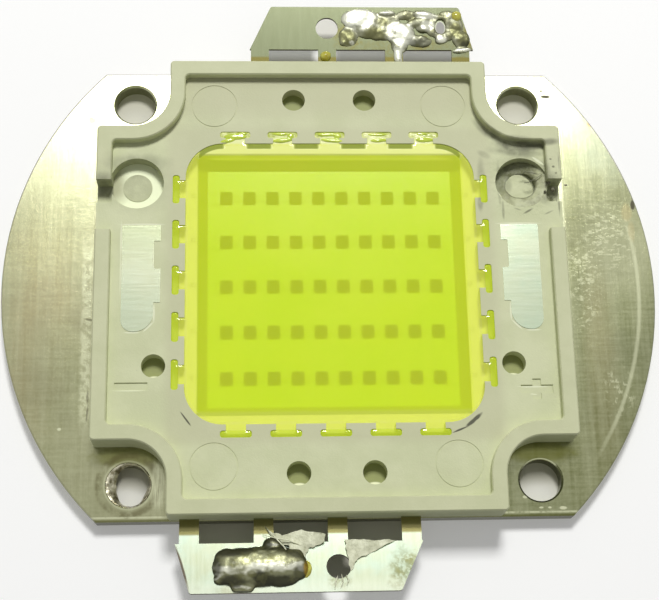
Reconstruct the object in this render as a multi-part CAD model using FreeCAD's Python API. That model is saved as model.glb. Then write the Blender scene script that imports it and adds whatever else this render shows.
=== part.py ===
import FreeCAD, Part
import os
from math import acos, cos, hypot, sin, tan, radians

# Square LED light module of the fifty watt kind: a plated copper base with two screw ears,
# a white moulded frame, two L-shaped leadframes, fifty dies in five strings, and a
# phosphor gel that fills the window. Millimetres, +Z up, origin under the middle of the base.

# base plate, a disc cut off along two sides
plate_depth = 40.0
plate_thickness = 1.5
plate_edge_bevel = 0.12
screw_inset = 3.0
screw_wall = 2.21
screw_hole_diameter = 3.5
screw_hole_bevel = 0.15

# moulded frame
overall_height = 4.3
frame_width = 40.0
frame_setback = 0.04
head_room = 3.2
rim_width = 1.3
rim_height = 0.85
rim_edge_bevel = 0.1
arm_corner_radius = 0.35
rim_inner_radius = 0.4

# leadframes
lead_height = 0.45
lead_thickness = 0.3
lead_inset = 1.0
lead_end_gap = 1.15
lead_ledge = 1.0
leg_width = 1.6
leg_pitch = 6.0
leg_reach = 2.05
tab_reach = 4.05
tab_overhang_inner = 0.1
tab_overhang_outer = 0.35
tab_taper_inner = 1.9
tab_taper_outer = 1.2
tab_corner_radius = 0.3
tab_bend_angle = 6.0
wire_hole_diameter = 2.0

# lands of the leadframes that show at floor level in the two sides, each between the
# recess and the blind hole; tooth and step are placed by shares of the land's own length
land_width = 3.25
land_inset = 0.95
land_gap_top = 1.55
land_gap_bottom = 1.95
land_proud = 0.05
land_outer_radius = 1.0
land_inner_radius = 1.6
land_corner_radius = 0.15
land_step = 0.55
land_step_share = 0.73
land_tooth_share_top = 0.15
land_tooth_share_bottom = 0.415

# dies, their bonds and their wires: strings of ten, spread evenly over the window's floor
die_columns = 10
die_rows = 5
die_side = 1.05
die_thickness = 0.15
bond_thickness = 0.03
bond_margin = 0.03
wire_diameter = 0.05
wire_pad_offset = 0.33
wire_loop_height = 0.3
wire_bend_radius = 0.12
wire_landing = 0.5

# window, keys and gel
window_inset = 7.545
cavity_margin_x = 1.08
cavity_margin_y = 1.98
cavity_slope = 0.85
gel_corner_radius = 3.2
gel_drop = 0.05
key_pitch = 4.1
key_end_gap = 4.0
key_neck = 1.65
key_width = 2.6
key_depth = 1.1
key_bar = 0.6
key_corner_radius = 0.22
key_root = 0.4
key_hole_start = 0.55
key_hole_width = 1.9

# round recesses with the plastic plug in the middle
recess_diameter = 4.6
recess_inset = 2.1
recess_end_gap = 5.05
plug_diameter = 2.5
plug_proud = 0.05

# blind holes, ejector rings, marks and the gaps in the rim
blind_hole_diameter = 2.0
blind_hole_x = 3.1
blind_hole_inset = 3.4
side_hole_inset = 5.0
side_hole_end_gap = 6.35
ring_diameter = 3.9
ring_groove_width = 0.12
ring_groove_depth = 0.05
ring_inset_x = 3.8
ring_inset_y = 4.0
mark_depth = 0.12
mark_stroke = 0.7
mark_length = 2.7
mark_upright = 1.75
mark_inset = 3.2
mark_minus_end_gap = 4.6
mark_plus_end_gap = 4.1
rim_slot_end_gap = 5.0
rim_slot_length = 1.8
rim_slot_floor = 0.25
rim_low_length = 2.7

# solder left on the two tabs
blob_length = 7.9
blob_width = 3.9
blob_height = 1.2
blob_inset = 2.85
pool_length = 11.0
pool_width = 3.8
pool_height = 0.45
pool_inset = 1.15
pool_hole_length = 1.4
pool_hole_width = 0.9
pool_hole_inset = 1.8

# shortest edge that an outline draws
edge_least = 1e-6

frame_depth = plate_depth - 2 * frame_setback
floor_z = overall_height - rim_height
lead_bottom_z = plate_thickness + lead_height
lead_top_z = lead_bottom_z + lead_thickness
gel_top_z = floor_z - gel_drop
die_z = plate_thickness + bond_thickness
die_top_z = die_z + die_thickness

side_x = frame_width / 2
end_y = frame_depth / 2
floor_x = side_x - rim_width
screw_x = frame_width / 2 - screw_inset
screw_y = plate_depth / 2 - screw_inset
disc_radius = hypot(screw_x, screw_y) + screw_hole_diameter / 2 + screw_wall
arm_x = screw_x - head_room
arm_y = screw_y - head_room

window_x = frame_width / 2 - window_inset
window_y = plate_depth / 2 - window_inset
ledge_x = window_x - lead_ledge
ledge_y = window_y - lead_ledge
cavity_x = ledge_x - cavity_slope
cavity_y = ledge_y - cavity_slope
die_span_x = 2 * (cavity_x - cavity_margin_x) - die_side
die_span_y = 2 * (cavity_y - cavity_margin_y) - die_side
die_pitch_x = die_span_x / (die_columns - 1)
die_pitch_y = die_span_y / (die_rows - 1)

row_start_x = lead_end_gap - ledge_x
row_end_x = arm_x - lead_inset
leg_count = int((row_end_x - row_start_x - leg_width) / leg_pitch) + 1
leg_last_x = row_end_x - leg_width / 2
leg_xs = [leg_last_x - leg_pitch * (leg_count - 1 - i) for i in range(leg_count)]
wire_hole_x = leg_xs[0] + leg_pitch
tab_inner_x = leg_xs[0] - leg_width / 2 - tab_overhang_inner
tab_outer_x = leg_xs[-1] + leg_width / 2 + tab_overhang_outer
tab_base_y = end_y + leg_reach
tab_tip_y = tab_base_y + tab_reach
tab_middle_y = (tab_base_y + tab_tip_y) / 2
blob_x = tab_outer_x - blob_inset - blob_length / 2
pool_x = tab_outer_x - pool_inset - pool_length / 2
pool_hole_x = tab_outer_x - pool_inset - pool_hole_inset

recess_x = floor_x - recess_inset
recess_y = arm_y - recess_end_gap
side_hole_x = side_x - side_hole_inset
side_hole_y = side_hole_end_gap - arm_y
land_top = recess_y - recess_diameter / 2 - land_gap_top
land_bottom = side_hole_y + blind_hole_diameter / 2 + land_gap_bottom
land_length = land_top - land_bottom


def vector(x, y, z=0.0):
    return FreeCAD.Vector(x, y, z)


def outline(corners, z):
    # closed wire through (x, y, radius) corners, each rounded by a tangent arc
    points = [vector(x, y, z) for x, y, radius in corners]
    spans = []
    for i, (x, y, radius) in enumerate(corners):
        here = points[i]
        back = (points[i - 1] - here).normalize()
        ahead = (points[(i + 1) % len(points)] - here).normalize()
        half = acos(max(-1.0, min(1.0, back.dot(ahead)))) / 2
        reach = radius / tan(half)
        inward = (back + ahead).normalize()
        middle = here + inward * (radius / sin(half) - radius)
        spans.append((here + back * reach, middle, here + ahead * reach, radius))
    edges = []
    for i, (start, middle, end, radius) in enumerate(spans):
        if radius > 0:
            edges.append(Part.Arc(start, middle, end).toShape())
        after = spans[(i + 1) % len(spans)][0]
        if (after - end).Length > edge_least:
            edges.append(Part.LineSegment(end, after).toShape())
    return Part.Wire(edges)


def prism(corners, bottom, top):
    return Part.Face(outline(corners, bottom)).extrude(vector(0, 0, top - bottom))


def block(x0, y0, x1, y1, bottom, top):
    return Part.makeBox(x1 - x0, y1 - y0, top - bottom, vector(x0, y0, bottom))


def cylinder(diameter, x, y, bottom, top):
    return Part.makeCylinder(diameter / 2, top - bottom, vector(x, y, bottom))


def half_turn(shape):
    turned = shape.copy()
    turned.rotate(vector(0, 0), vector(0, 0, 1), 180)
    return turned


def mirror_x(shape):
    return shape.mirror(vector(0, 0), vector(1, 0, 0))


def bent(shape):
    # turns what lies beyond the frame up about the line where the legs leave it
    turned = shape.copy()
    turned.rotate(vector(0, end_y, lead_top_z), vector(1, 0, 0), tab_bend_angle)
    return turned


def cross_corners(inset, corner_radius):
    # the frame's square with a notch at each screw, drawn in by the inset
    x_out = side_x - inset
    y_out = end_y - inset
    x_in = arm_x - inset
    y_in = arm_y - inset
    bend = head_room + inset
    first = [(x_out, y_in, corner_radius), (x_in, y_in, bend), (x_in, y_out, corner_radius)]
    second = [(-x, y, radius) for x, y, radius in reversed(first)]
    upper = first + second
    return upper + [(-x, -y, radius) for x, y, radius in upper]


def screw_places():
    return [(sx * screw_x, sy * screw_y) for sx in (-1, 1) for sy in (-1, 1)]


def make_base_plate():
    disc = cylinder(2 * disc_radius, 0, 0, 0, plate_thickness)
    strip = block(-disc_radius, -plate_depth / 2, disc_radius, plate_depth / 2, 0, plate_thickness)
    plate = disc.common(strip)
    rims = [edge for edge in plate.Edges if edge.BoundBox.ZMin > plate_thickness / 2]
    plate = plate.makeChamfer(plate_edge_bevel, rims)
    for x, y in screw_places():
        plate = plate.cut(cylinder(screw_hole_diameter, x, y, 0, plate_thickness))
        mouth = screw_hole_diameter / 2 + screw_hole_bevel
        cone = Part.makeCone(screw_hole_diameter / 2, mouth, screw_hole_bevel,
                             vector(x, y, plate_thickness - screw_hole_bevel))
        plate = plate.cut(cone)
    return plate


def key_places(half_side):
    # as many keys as one side of the window holds, about its middle
    spaces = int(2 * (half_side - key_end_gap) / key_pitch)
    return [key_pitch * (i - spaces / 2) for i in range(spaces + 1)]


def keys_all_round(make_one):
    made = []
    top_and_side = ((0, window_y, window_x), (90, window_x, window_y))
    for turn, reach, half_side in top_and_side + tuple((t + 180, r, h) for t, r, h in top_and_side):
        for place in key_places(half_side):
            shape = make_one(reach)
            shape.translate(vector(place, 0, 0))
            shape.rotate(vector(0, 0), vector(0, 0, 1), turn)
            made.append(shape)
    return made


def key(reach, bottom, top):
    # a neck with a wider bar at its outer end, seen from above a T; its root reaches a
    # little way into the window, so that the two join
    near = reach - key_root
    step = reach + key_depth - key_bar
    far = reach + key_depth
    neck = key_neck / 2
    wide = key_width / 2
    corner = key_corner_radius
    corners = [(-neck, near, 0), (neck, near, 0), (neck, step, 0), (wide, step, corner),
               (wide, far, corner), (-wide, far, corner), (-wide, step, corner), (-neck, step, 0)]
    return prism(corners, bottom, top)


def key_hole(reach):
    # the deeper end of each key, where the leadframe has a slot
    half = key_hole_width / 2
    return block(-half, reach + key_hole_start, half, reach + key_depth, lead_bottom_z, lead_top_z)


def make_cavity(top):
    # the room that the gel fills, up to the given height
    window = prism([(sx * window_x, sy * window_y, gel_corner_radius)
                    for sx, sy in ((1, 1), (-1, 1), (-1, -1), (1, -1))], lead_top_z, top)
    middle = block(-ledge_x, -ledge_y, ledge_x, ledge_y, lead_bottom_z, lead_top_z)
    foot = outline([(sx * cavity_x, sy * cavity_y, 0)
                    for sx, sy in ((1, 1), (-1, 1), (-1, -1), (1, -1))], plate_thickness)
    head = outline([(sx * ledge_x, sy * ledge_y, 0)
                    for sx, sy in ((1, 1), (-1, 1), (-1, -1), (1, -1))], lead_bottom_z)
    slope = Part.makeLoft([foot, head], True, True)
    keys = keys_all_round(lambda reach: key(reach, lead_top_z, top))
    holes = keys_all_round(key_hole)
    return window.fuse([middle, slope] + keys + holes).removeSplitter()


def land_corners():
    outer = floor_x - land_inset
    inner = outer - land_width
    step = inner + land_step
    tooth_top = land_top - land_tooth_share_top * land_length
    tooth_bottom = land_top - land_tooth_share_bottom * land_length
    step_y = land_top - land_step_share * land_length
    inner_radius = min(land_inner_radius, step_y - land_bottom)
    return [(outer, land_bottom, land_outer_radius), (outer, land_top, land_corner_radius),
            (inner, land_top, 0), (inner, tooth_top, 0), (step, tooth_top, 0),
            (step, tooth_bottom, land_corner_radius), (inner, tooth_bottom, 0),
            (inner, step_y, 0), (step, step_y, 0), (step, land_bottom, inner_radius)]


def make_tab():
    # legs, windows between them and the soldering strip with its wire hole, bent up
    parts = []
    for x in leg_xs:
        parts.append(block(x - leg_width / 2, end_y, x + leg_width / 2, tab_base_y,
                           lead_bottom_z, lead_top_z))
    strip = prism([(tab_inner_x, tab_base_y, 0), (tab_outer_x, tab_base_y, 0),
                   (tab_outer_x - tab_taper_outer, tab_tip_y, tab_corner_radius),
                   (tab_inner_x + tab_taper_inner, tab_tip_y, tab_corner_radius)],
                  lead_bottom_z, lead_top_z)
    tab = strip.fuse(parts)
    tab = tab.cut(cylinder(wire_hole_diameter, wire_hole_x, tab_middle_y, lead_bottom_z, lead_top_z))
    return bent(tab)


def make_sheet():
    # stamped sheet of the positive leadframe: a row along the top with the tab, and a
    # column down the right side
    x_out = side_x - lead_inset
    y_out = end_y - lead_inset
    y_in = arm_y - lead_inset
    sheet = prism([(ledge_x, -y_in, 0), (x_out, -y_in, arm_corner_radius),
                   (x_out, y_in, arm_corner_radius), (row_end_x, y_in, head_room + lead_inset),
                   (row_end_x, y_out, 0), (row_start_x, y_out, 0), (row_start_x, ledge_y, 0),
                   (ledge_x, ledge_y, 0)],
                  lead_bottom_z, lead_top_z)
    roots = []
    for x in leg_xs:
        roots.append(block(x - leg_width / 2, y_out, x + leg_width / 2, end_y,
                           lead_bottom_z, lead_top_z))
        roots.append(leg_elbow(x))
    sheet = sheet.fuse(roots + [make_tab()]).removeSplitter()
    return sheet.cut(keys_all_round(key_hole))


def leg_elbow(x):
    # fills the wedge that opens under the bend of a leg
    left = x - leg_width / 2
    angle = radians(tab_bend_angle)
    upper = vector(left, end_y, lead_top_z)
    lower = vector(left, end_y, lead_bottom_z)
    turned = vector(left, end_y + lead_thickness * sin(angle),
                    lead_top_z - lead_thickness * cos(angle))
    return Part.Face(Part.makePolygon([upper, lower, turned, upper])).extrude(vector(leg_width, 0, 0))


def make_leadframe(side):
    # 1 is the positive one at the right, -1 the negative one at the left. The sheet is the
    # same turned half round, while land and plug hole face each other across the window.
    sheet = make_sheet()
    land = prism(land_corners(), lead_top_z, floor_z + land_proud)
    if side < 0:
        sheet = half_turn(sheet)
        land = mirror_x(land)
    lead = sheet.fuse(land).removeSplitter()
    return lead.cut(cylinder(plug_diameter, side * recess_x, recess_y, lead_bottom_z, lead_top_z))


def floor_tools():
    # what is sunk into the frame's floor, apart from the window
    above = overall_height
    inner = prism(cross_corners(rim_width, rim_inner_radius), lead_top_z, above)
    tools = []
    for side in (-1, 1):
        recess = cylinder(recess_diameter, side * recess_x, recess_y, lead_top_z, above)
        plug = cylinder(plug_diameter, side * recess_x, recess_y, lead_top_z, lead_top_z + plug_proud)
        tools.append(recess.cut(plug).common(inner))
        tools.append(cylinder(blind_hole_diameter, side * side_hole_x, side_hole_y, lead_top_z, above))
        for end in (-1, 1):
            tools.append(cylinder(blind_hole_diameter, side * blind_hole_x,
                                  end * (end_y - blind_hole_inset), lead_top_z, above))
            tools.append(ring_groove(side * (arm_x - ring_inset_x), end * (end_y - ring_inset_y)))
    return tools + mark_tools()


def ring_groove(x, y):
    bottom = floor_z - ring_groove_depth
    outside = cylinder(ring_diameter + ring_groove_width, x, y, bottom, floor_z)
    return outside.cut(cylinder(ring_diameter - ring_groove_width, x, y, bottom, floor_z))


def bar(x, y, length, height):
    return block(x - length / 2, y - height / 2, x + length / 2, y + height / 2,
                 floor_z - mark_depth, floor_z)


def mark_tools():
    # polarity marks: minus at the left, plus at the right
    x = side_x - mark_inset
    minus = bar(-x, mark_minus_end_gap - arm_y, mark_length, mark_stroke)
    plus_y = mark_plus_end_gap - arm_y
    plus = bar(x, plus_y, mark_length, mark_stroke).fuse(bar(x, plus_y, mark_stroke, mark_upright))
    return [minus, plus.removeSplitter()]


def rim_tools():
    # each side rim is low for a stretch, and has one deep slot above it
    slot_floor = lead_top_z + rim_slot_floor
    slot_top = arm_y - rim_slot_end_gap
    slot_bottom = slot_top - rim_slot_length
    low_end = slot_bottom - rim_low_length
    tools = []
    for side in (-1, 1):
        inner = side * floor_x
        outer = side * side_x
        low, high = min(inner, outer), max(inner, outer)
        tools.append(block(low, slot_bottom, high, slot_top, slot_floor, overall_height))
        tools.append(block(low, low_end, high, slot_bottom, floor_z, overall_height))
    return tools


def make_frame(leads):
    body = prism(cross_corners(0, arm_corner_radius), plate_thickness, overall_height)
    hollow = prism(cross_corners(rim_width, rim_inner_radius), floor_z, overall_height)
    body = body.cut(hollow)
    brim = [edge for edge in body.Edges if edge.BoundBox.ZMin > (floor_z + overall_height) / 2]
    body = body.makeChamfer(rim_edge_bevel, brim)
    body = body.cut(rim_tools() + floor_tools())
    body = body.cut(make_cavity(floor_z))
    return body.cut(leads)


def die_places():
    places = []
    for row in range(die_rows):
        for column in range(die_columns):
            x = column * die_pitch_x - die_span_x / 2
            y = die_span_y / 2 - row * die_pitch_y
            places.append((row, column, x, y))
    return places


def make_die(x, y):
    half = die_side / 2
    return block(x - half, y - half, x + half, y + half, die_z, die_top_z)


def make_bonds():
    half = die_side / 2 - bond_margin
    pads = [block(x - half, y - half, x + half, y + half, plate_thickness, die_z)
            for row, column, x, y in die_places()]
    return Part.makeCompound(pads)


def make_wire(x0, z0, x1, z1, y):
    # up from one pad, across, and down to the next, with a round bend at each end
    top = max(z0, z1) + wire_loop_height
    bend = wire_bend_radius
    round_over = bend * (1 - sin(radians(45)))
    path = Part.Wire([
        Part.LineSegment(vector(x0, y, z0), vector(x0, y, top - bend)).toShape(),
        Part.Arc(vector(x0, y, top - bend), vector(x0 + round_over, y, top - round_over),
                 vector(x0 + bend, y, top)).toShape(),
        Part.LineSegment(vector(x0 + bend, y, top), vector(x1 - bend, y, top)).toShape(),
        Part.Arc(vector(x1 - bend, y, top), vector(x1 - round_over, y, top - round_over),
                 vector(x1, y, top - bend)).toShape(),
        Part.LineSegment(vector(x1, y, top - bend), vector(x1, y, z1)).toShape()])
    section = Part.Wire([Part.makeCircle(wire_diameter / 2, vector(x0, y, z0), vector(0, 0, 1))])
    return path.makePipeShell([section], True, False)


def make_wires():
    wires = []
    first = -die_span_x / 2
    landing = ledge_x + wire_landing
    for row in range(die_rows):
        y = die_span_y / 2 - row * die_pitch_y
        wires.append(make_wire(-landing, lead_top_z, first - wire_pad_offset, die_top_z, y))
        for column in range(die_columns - 1):
            x = first + column * die_pitch_x
            wires.append(make_wire(x + wire_pad_offset, die_top_z,
                                   x + die_pitch_x - wire_pad_offset, die_top_z, y))
        wires.append(make_wire(-first + wire_pad_offset, die_top_z, landing, lead_top_z, y))
    return Part.makeCompound(wires)


def make_gel(leads, buried):
    gel = make_cavity(gel_top_z).cut(leads)
    return gel.cut(buried)


def solder_dome(x, length, width, height):
    # long round-ended drop of solder on the positive tab's top face, before the tab is bent
    radius = width / 2
    half = length / 2 - radius
    drop = Part.makeCylinder(radius, 2 * half, vector(-half, 0, 0), vector(1, 0, 0))
    ends = [Part.makeSphere(radius, vector(end, 0, 0)) for end in (-half, half)]
    drop = drop.fuse(ends)
    drop = drop.removeSplitter()
    squash = FreeCAD.Matrix()
    squash.scale(1, 1, height / radius)
    drop = drop.transformGeometry(squash)
    drop = drop.common(block(-length, -width, length, width, 0, overall_height))
    drop.translate(vector(x, tab_middle_y, lead_top_z))
    return drop


def make_solder_positive():
    pool = solder_dome(pool_x, pool_length, pool_width, pool_height)
    hole = cylinder(pool_hole_width, pool_hole_x, tab_middle_y, lead_top_z, overall_height)
    stretch = (pool_hole_length - pool_hole_width) / 2
    for step in (-stretch, stretch):
        hole = hole.fuse(cylinder(pool_hole_width, pool_hole_x, tab_middle_y + step,
                                  lead_top_z, overall_height))
    return bent(pool.cut(hole))


def make_solder_negative():
    return half_turn(bent(solder_dome(blob_x, blob_length, blob_width, blob_height)))


def save(name, shape):
    shape.exportStep("parts/" + name + ".step")
    print(name, "solids", len(shape.Solids), "volume", round(shape.Volume, 4), "valid", shape.isValid())


os.makedirs("parts", exist_ok=True)

positive = make_leadframe(1)
negative = make_leadframe(-1)
leadframes = [positive, negative]
bonds = make_bonds()
wires = make_wires()
dies = [(row, column, make_die(x, y)) for row, column, x, y in die_places()]
buried_parts = [die for row, column, die in dies] + bonds.Solids + wires.Solids

save("base_plate", make_base_plate())
save("frame", make_frame(leadframes))
save("positive_leadframe", positive)
save("negative_leadframe", negative)
save("phosphor_gel", make_gel(leadframes, buried_parts))
save("die_bonds", bonds)
save("bond_wires", wires)
for row, column, die in dies:
    save("led_die_r" + str(row + 1) + "_c" + str(column + 1).zfill(2), die)
save("solder_positive", make_solder_positive())
save("solder_negative", make_solder_negative())
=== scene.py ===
import math
import bpy
import bmesh
from mathutils import Matrix, Vector, noise


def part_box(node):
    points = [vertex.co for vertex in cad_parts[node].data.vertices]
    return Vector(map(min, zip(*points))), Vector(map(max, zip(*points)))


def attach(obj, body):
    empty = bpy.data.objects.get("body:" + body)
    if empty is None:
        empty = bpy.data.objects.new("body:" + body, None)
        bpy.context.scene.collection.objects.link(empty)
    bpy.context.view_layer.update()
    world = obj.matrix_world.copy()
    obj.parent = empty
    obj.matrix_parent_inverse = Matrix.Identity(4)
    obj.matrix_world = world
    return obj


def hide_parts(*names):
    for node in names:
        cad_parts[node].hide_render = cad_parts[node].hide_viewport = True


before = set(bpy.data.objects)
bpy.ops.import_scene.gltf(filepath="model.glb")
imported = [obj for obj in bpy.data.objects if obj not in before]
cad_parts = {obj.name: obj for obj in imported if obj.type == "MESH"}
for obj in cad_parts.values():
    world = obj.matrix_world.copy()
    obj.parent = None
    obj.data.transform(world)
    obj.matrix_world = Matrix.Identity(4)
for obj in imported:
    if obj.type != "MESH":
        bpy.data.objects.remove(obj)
print("frame loaded:", len(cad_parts), "nodes")

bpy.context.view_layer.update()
mm = 0.001  # every size below is in millimetres
noise.seed_set(4)  # noise_vector takes its offsets from this seed


def rgb(red, green, blue):
    # a colour as a paint program gives it, turned into the linear values that shaders take
    def linear(value):
        share = value / 255
        return share / 12.92 if share <= 0.04045 else ((share + 0.055) / 1.055) ** 2.4
    return (linear(red), linear(green), linear(blue), 1.0)


# node building

def plug(tree, socket, value):
    if isinstance(value, bpy.types.NodeSocket):
        tree.links.new(value, socket)
    else:
        socket.default_value = value


def add(tree, kind, inputs=None, **settings):
    made = tree.nodes.new("ShaderNode" + kind)
    for name, value in settings.items():
        setattr(made, name, value)
    for name, value in (inputs or {}).items():
        plug(tree, made.inputs[name], value)
    return made


def calc(tree, operation, first, second=0.0):
    return add(tree, "Math", {0: first, 1: second}, operation=operation).outputs[0]


def times(tree, first, *others):
    for other in others:
        first = calc(tree, "MULTIPLY", first, other)
    return first


def most(tree, first, *others):
    for other in others:
        first = calc(tree, "MAXIMUM", first, other)
    return first


def inverse(tree, mask):
    return calc(tree, "SUBTRACT", 1.0, mask)


def ramp(tree, value, start, end, low=0.0, high=1.0, kind="SMOOTHSTEP"):
    inputs = {"Value": value, "From Min": start, "From Max": end, "To Min": low, "To Max": high}
    return add(tree, "MapRange", inputs, interpolation_type=kind).outputs["Result"]


def band(tree, value, middle, outer, inner, low=0.0, high=1.0):
    # high near the middle, low from outer on
    apart = calc(tree, "ABSOLUTE", calc(tree, "SUBTRACT", value, middle))
    return ramp(tree, apart, outer, inner, low, high)


def blend(tree, factor, under, over):
    mixed = add(tree, "Mix", data_type="RGBA")
    for socket, value in ((0, factor), (6, under), (7, over)):
        plug(tree, mixed.inputs[socket], value)
    return mixed.outputs[2]


def tint(tree, colour, paint, *masks):
    # paints over the colour where all the masks are
    return blend(tree, times(tree, *masks), colour, paint)


def places(tree):
    # object coordinates in millimetres
    where = add(tree, "TexCoord").outputs["Object"]
    return add(tree, "VectorMath", {0: where, "Scale": 1 / mm}, operation="SCALE").outputs[0]


def split(tree, vector):
    return tuple(add(tree, "SeparateXYZ", {0: vector}).outputs)


def normals(tree):
    return split(tree, add(tree, "NewGeometry").outputs["Normal"])


def roundReach(tree, x, y, middle=(0.0, 0.0)):
    # distance from the middle, seen from above
    level = add(tree, "CombineXYZ", {0: x, 1: y}).outputs[0]
    return add(tree, "VectorMath", {0: level, 1: (*middle, 0.0)}, operation="DISTANCE").outputs["Value"]


def squareReach(tree, x, y):
    # half side of the square that the place lies on
    return most(tree, calc(tree, "ABSOLUTE", x), calc(tree, "ABSOLUTE", y))


def newGroup(name, inputs, outputs):
    tree = bpy.data.node_groups.new(name, "ShaderNodeTree")
    for label, kind, default in inputs:
        socket = tree.interface.new_socket(label, in_out="INPUT", socket_type="NodeSocket" + kind)
        socket.default_value = default
    for label, kind in outputs:
        tree.interface.new_socket(label, in_out="OUTPUT", socket_type="NodeSocket" + kind)
    return tree, tree.nodes.new("NodeGroupInput").outputs, tree.nodes.new("NodeGroupOutput").inputs


def use(tree, group, **inputs):
    made = tree.nodes.new("ShaderNodeGroup")
    made.node_tree = group
    for name, value in inputs.items():
        plug(tree, made.inputs[name], value)
    return made.outputs[0]


# shared surface effects

def makePatch():
    # ragged oval patch about a place
    inputs = [("Centre", "Vector", (0, 0, 0)), ("Size", "Vector", (1, 1, 100)), ("Turn", "Float", 0.0),
              ("Soft", "Float", 0.3), ("Ragged", "Float", 0.3), ("Grain", "Float", 1.0)]
    tree, given, out = newGroup("patch", inputs, [("Mask", "Float")])
    where = places(tree)
    wave = add(tree, "TexNoise", {"Vector": where, "Scale": given["Grain"], "Detail": 3.0})
    shift = times(tree, calc(tree, "SUBTRACT", wave.outputs["Fac"], 0.5), given["Ragged"])
    away = add(tree, "VectorMath", {0: where, 1: given["Centre"]}, operation="SUBTRACT").outputs[0]
    away = add(tree, "VectorRotate", {"Vector": away, "Angle": given["Turn"]}, rotation_type="Z_AXIS")
    share = add(tree, "VectorMath", {0: away.outputs[0], 1: given["Size"]}, operation="DIVIDE").outputs[0]
    reach = add(tree, "VectorMath", {0: share}, operation="LENGTH").outputs["Value"]
    reach = calc(tree, "ADD", reach, shift)
    outer = calc(tree, "ADD", 1.0, given["Soft"])
    plug(tree, out["Mask"], ramp(tree, reach, outer, inverse(tree, given["Soft"])))
    return tree


def makeStrokes():
    # brushed strokes, long in one direction
    inputs = [("Stretch", "Vector", (2, 0.1, 1)), ("Shift", "Float", 0.0), ("Detail", "Float", 4.0)]
    tree, given, out = newGroup("strokes", inputs, [("Value", "Float")])
    where = add(tree, "VectorMath", {0: places(tree), 1: given["Stretch"]}, operation="MULTIPLY").outputs[0]
    lines = add(tree, "TexNoise", {"Vector": where, "W": given["Shift"], "Scale": 1.0,
                                   "Detail": given["Detail"], "Roughness": 0.65}, noise_dimensions="4D")
    plug(tree, out["Value"], ramp(tree, lines.outputs["Fac"], 0.3, 0.7, kind="LINEAR"))
    return tree


def makeMottle():
    # cloudy change from spot to spot
    inputs = [("Scale", "Float", 0.5), ("Shift", "Float", 0.0), ("Low", "Float", 0.35),
              ("High", "Float", 0.65)]
    tree, given, out = newGroup("mottle", inputs, [("Mask", "Float")])
    cloud = add(tree, "TexNoise", {"Vector": places(tree), "W": given["Shift"], "Scale": given["Scale"],
                                   "Detail": 5.0, "Roughness": 0.6}, noise_dimensions="4D")
    plug(tree, out["Mask"], ramp(tree, cloud.outputs["Fac"], given["Low"], given["High"]))
    return tree


def makeSpecks():
    # sparse round specks, where only a share of the cells carries one
    inputs = [("Scale", "Float", 1.0), ("Share", "Float", 0.1), ("Size", "Float", 0.12)]
    tree, given, out = newGroup("specks", inputs, [("Mask", "Float")])
    cells = add(tree, "TexVoronoi", {"Vector": places(tree), "Scale": given["Scale"]})
    chance = add(tree, "SeparateColor", {"Color": cells.outputs["Color"]}).outputs[0]
    chosen = calc(tree, "LESS_THAN", chance, given["Share"])
    near = ramp(tree, cells.outputs["Distance"], given["Size"], times(tree, given["Size"], 0.5))
    plug(tree, out["Mask"], times(tree, near, chosen))
    return tree


patchGroup = makePatch()
strokesGroup = makeStrokes()
mottleGroup = makeMottle()
specksGroup = makeSpecks()


def patch(tree, x, y, wide, high, soft=0.3, ragged=0.4, grain=1.0, turn=0.0):
    # the turn is in degrees, clockwise seen from above
    return use(tree, patchGroup, Centre=(x, y, 0), Size=(wide, high, 100), Soft=soft, Ragged=ragged,
               Grain=grain, Turn=math.radians(turn))


def strokes(tree, stretch, shift=0.0):
    return use(tree, strokesGroup, Stretch=stretch, Shift=shift)


def mottle(tree, scale, shift=0.0, low=0.35, high=0.65):
    return use(tree, mottleGroup, Scale=scale, Shift=shift, Low=low, High=high)


def specks(tree, scale, share, size):
    return use(tree, specksGroup, Scale=scale, Share=share, Size=size)


def paintSpots(tree, colour, look, spots, edge=(), within=1.0):
    # spots are x, y, half width, half height, paint and strength, then a turn and an edge where
    # they have their own; an edge is softness, raggedness and grain
    masks = {}
    for x, y, wide, high, paint, strength, *more in spots:
        turn, *own = more or (0,)
        mask = times(tree, patch(tree, x, y, wide, high, *(own or edge), turn), within, strength)
        colour = blend(tree, mask, colour, look[paint])
        masks.setdefault(paint, []).append(mask)
    return colour, masks


def newMaterial(name, roughness=0.5, metallic=0.0, **constants):
    material = bpy.data.materials.new(name)
    material.use_nodes = True
    tree = material.node_tree
    shader = tree.nodes["Principled BSDF"]
    shader.inputs["Roughness"].default_value = roughness
    shader.inputs["Metallic"].default_value = metallic
    for label, value in constants.items():
        shader.inputs[label.replace("_", " ")].default_value = value
    return material, tree, shader.inputs


def roughen(tree, shader, height, distance, strength=1.0):
    bump = add(tree, "Bump", {"Height": height, "Strength": strength, "Distance": distance * mm})
    plug(tree, shader["Normal"], bump.outputs["Normal"])


# base plate: nickel on copper, brushed along Y, stained and scratched, with painted sheen and shade

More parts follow.
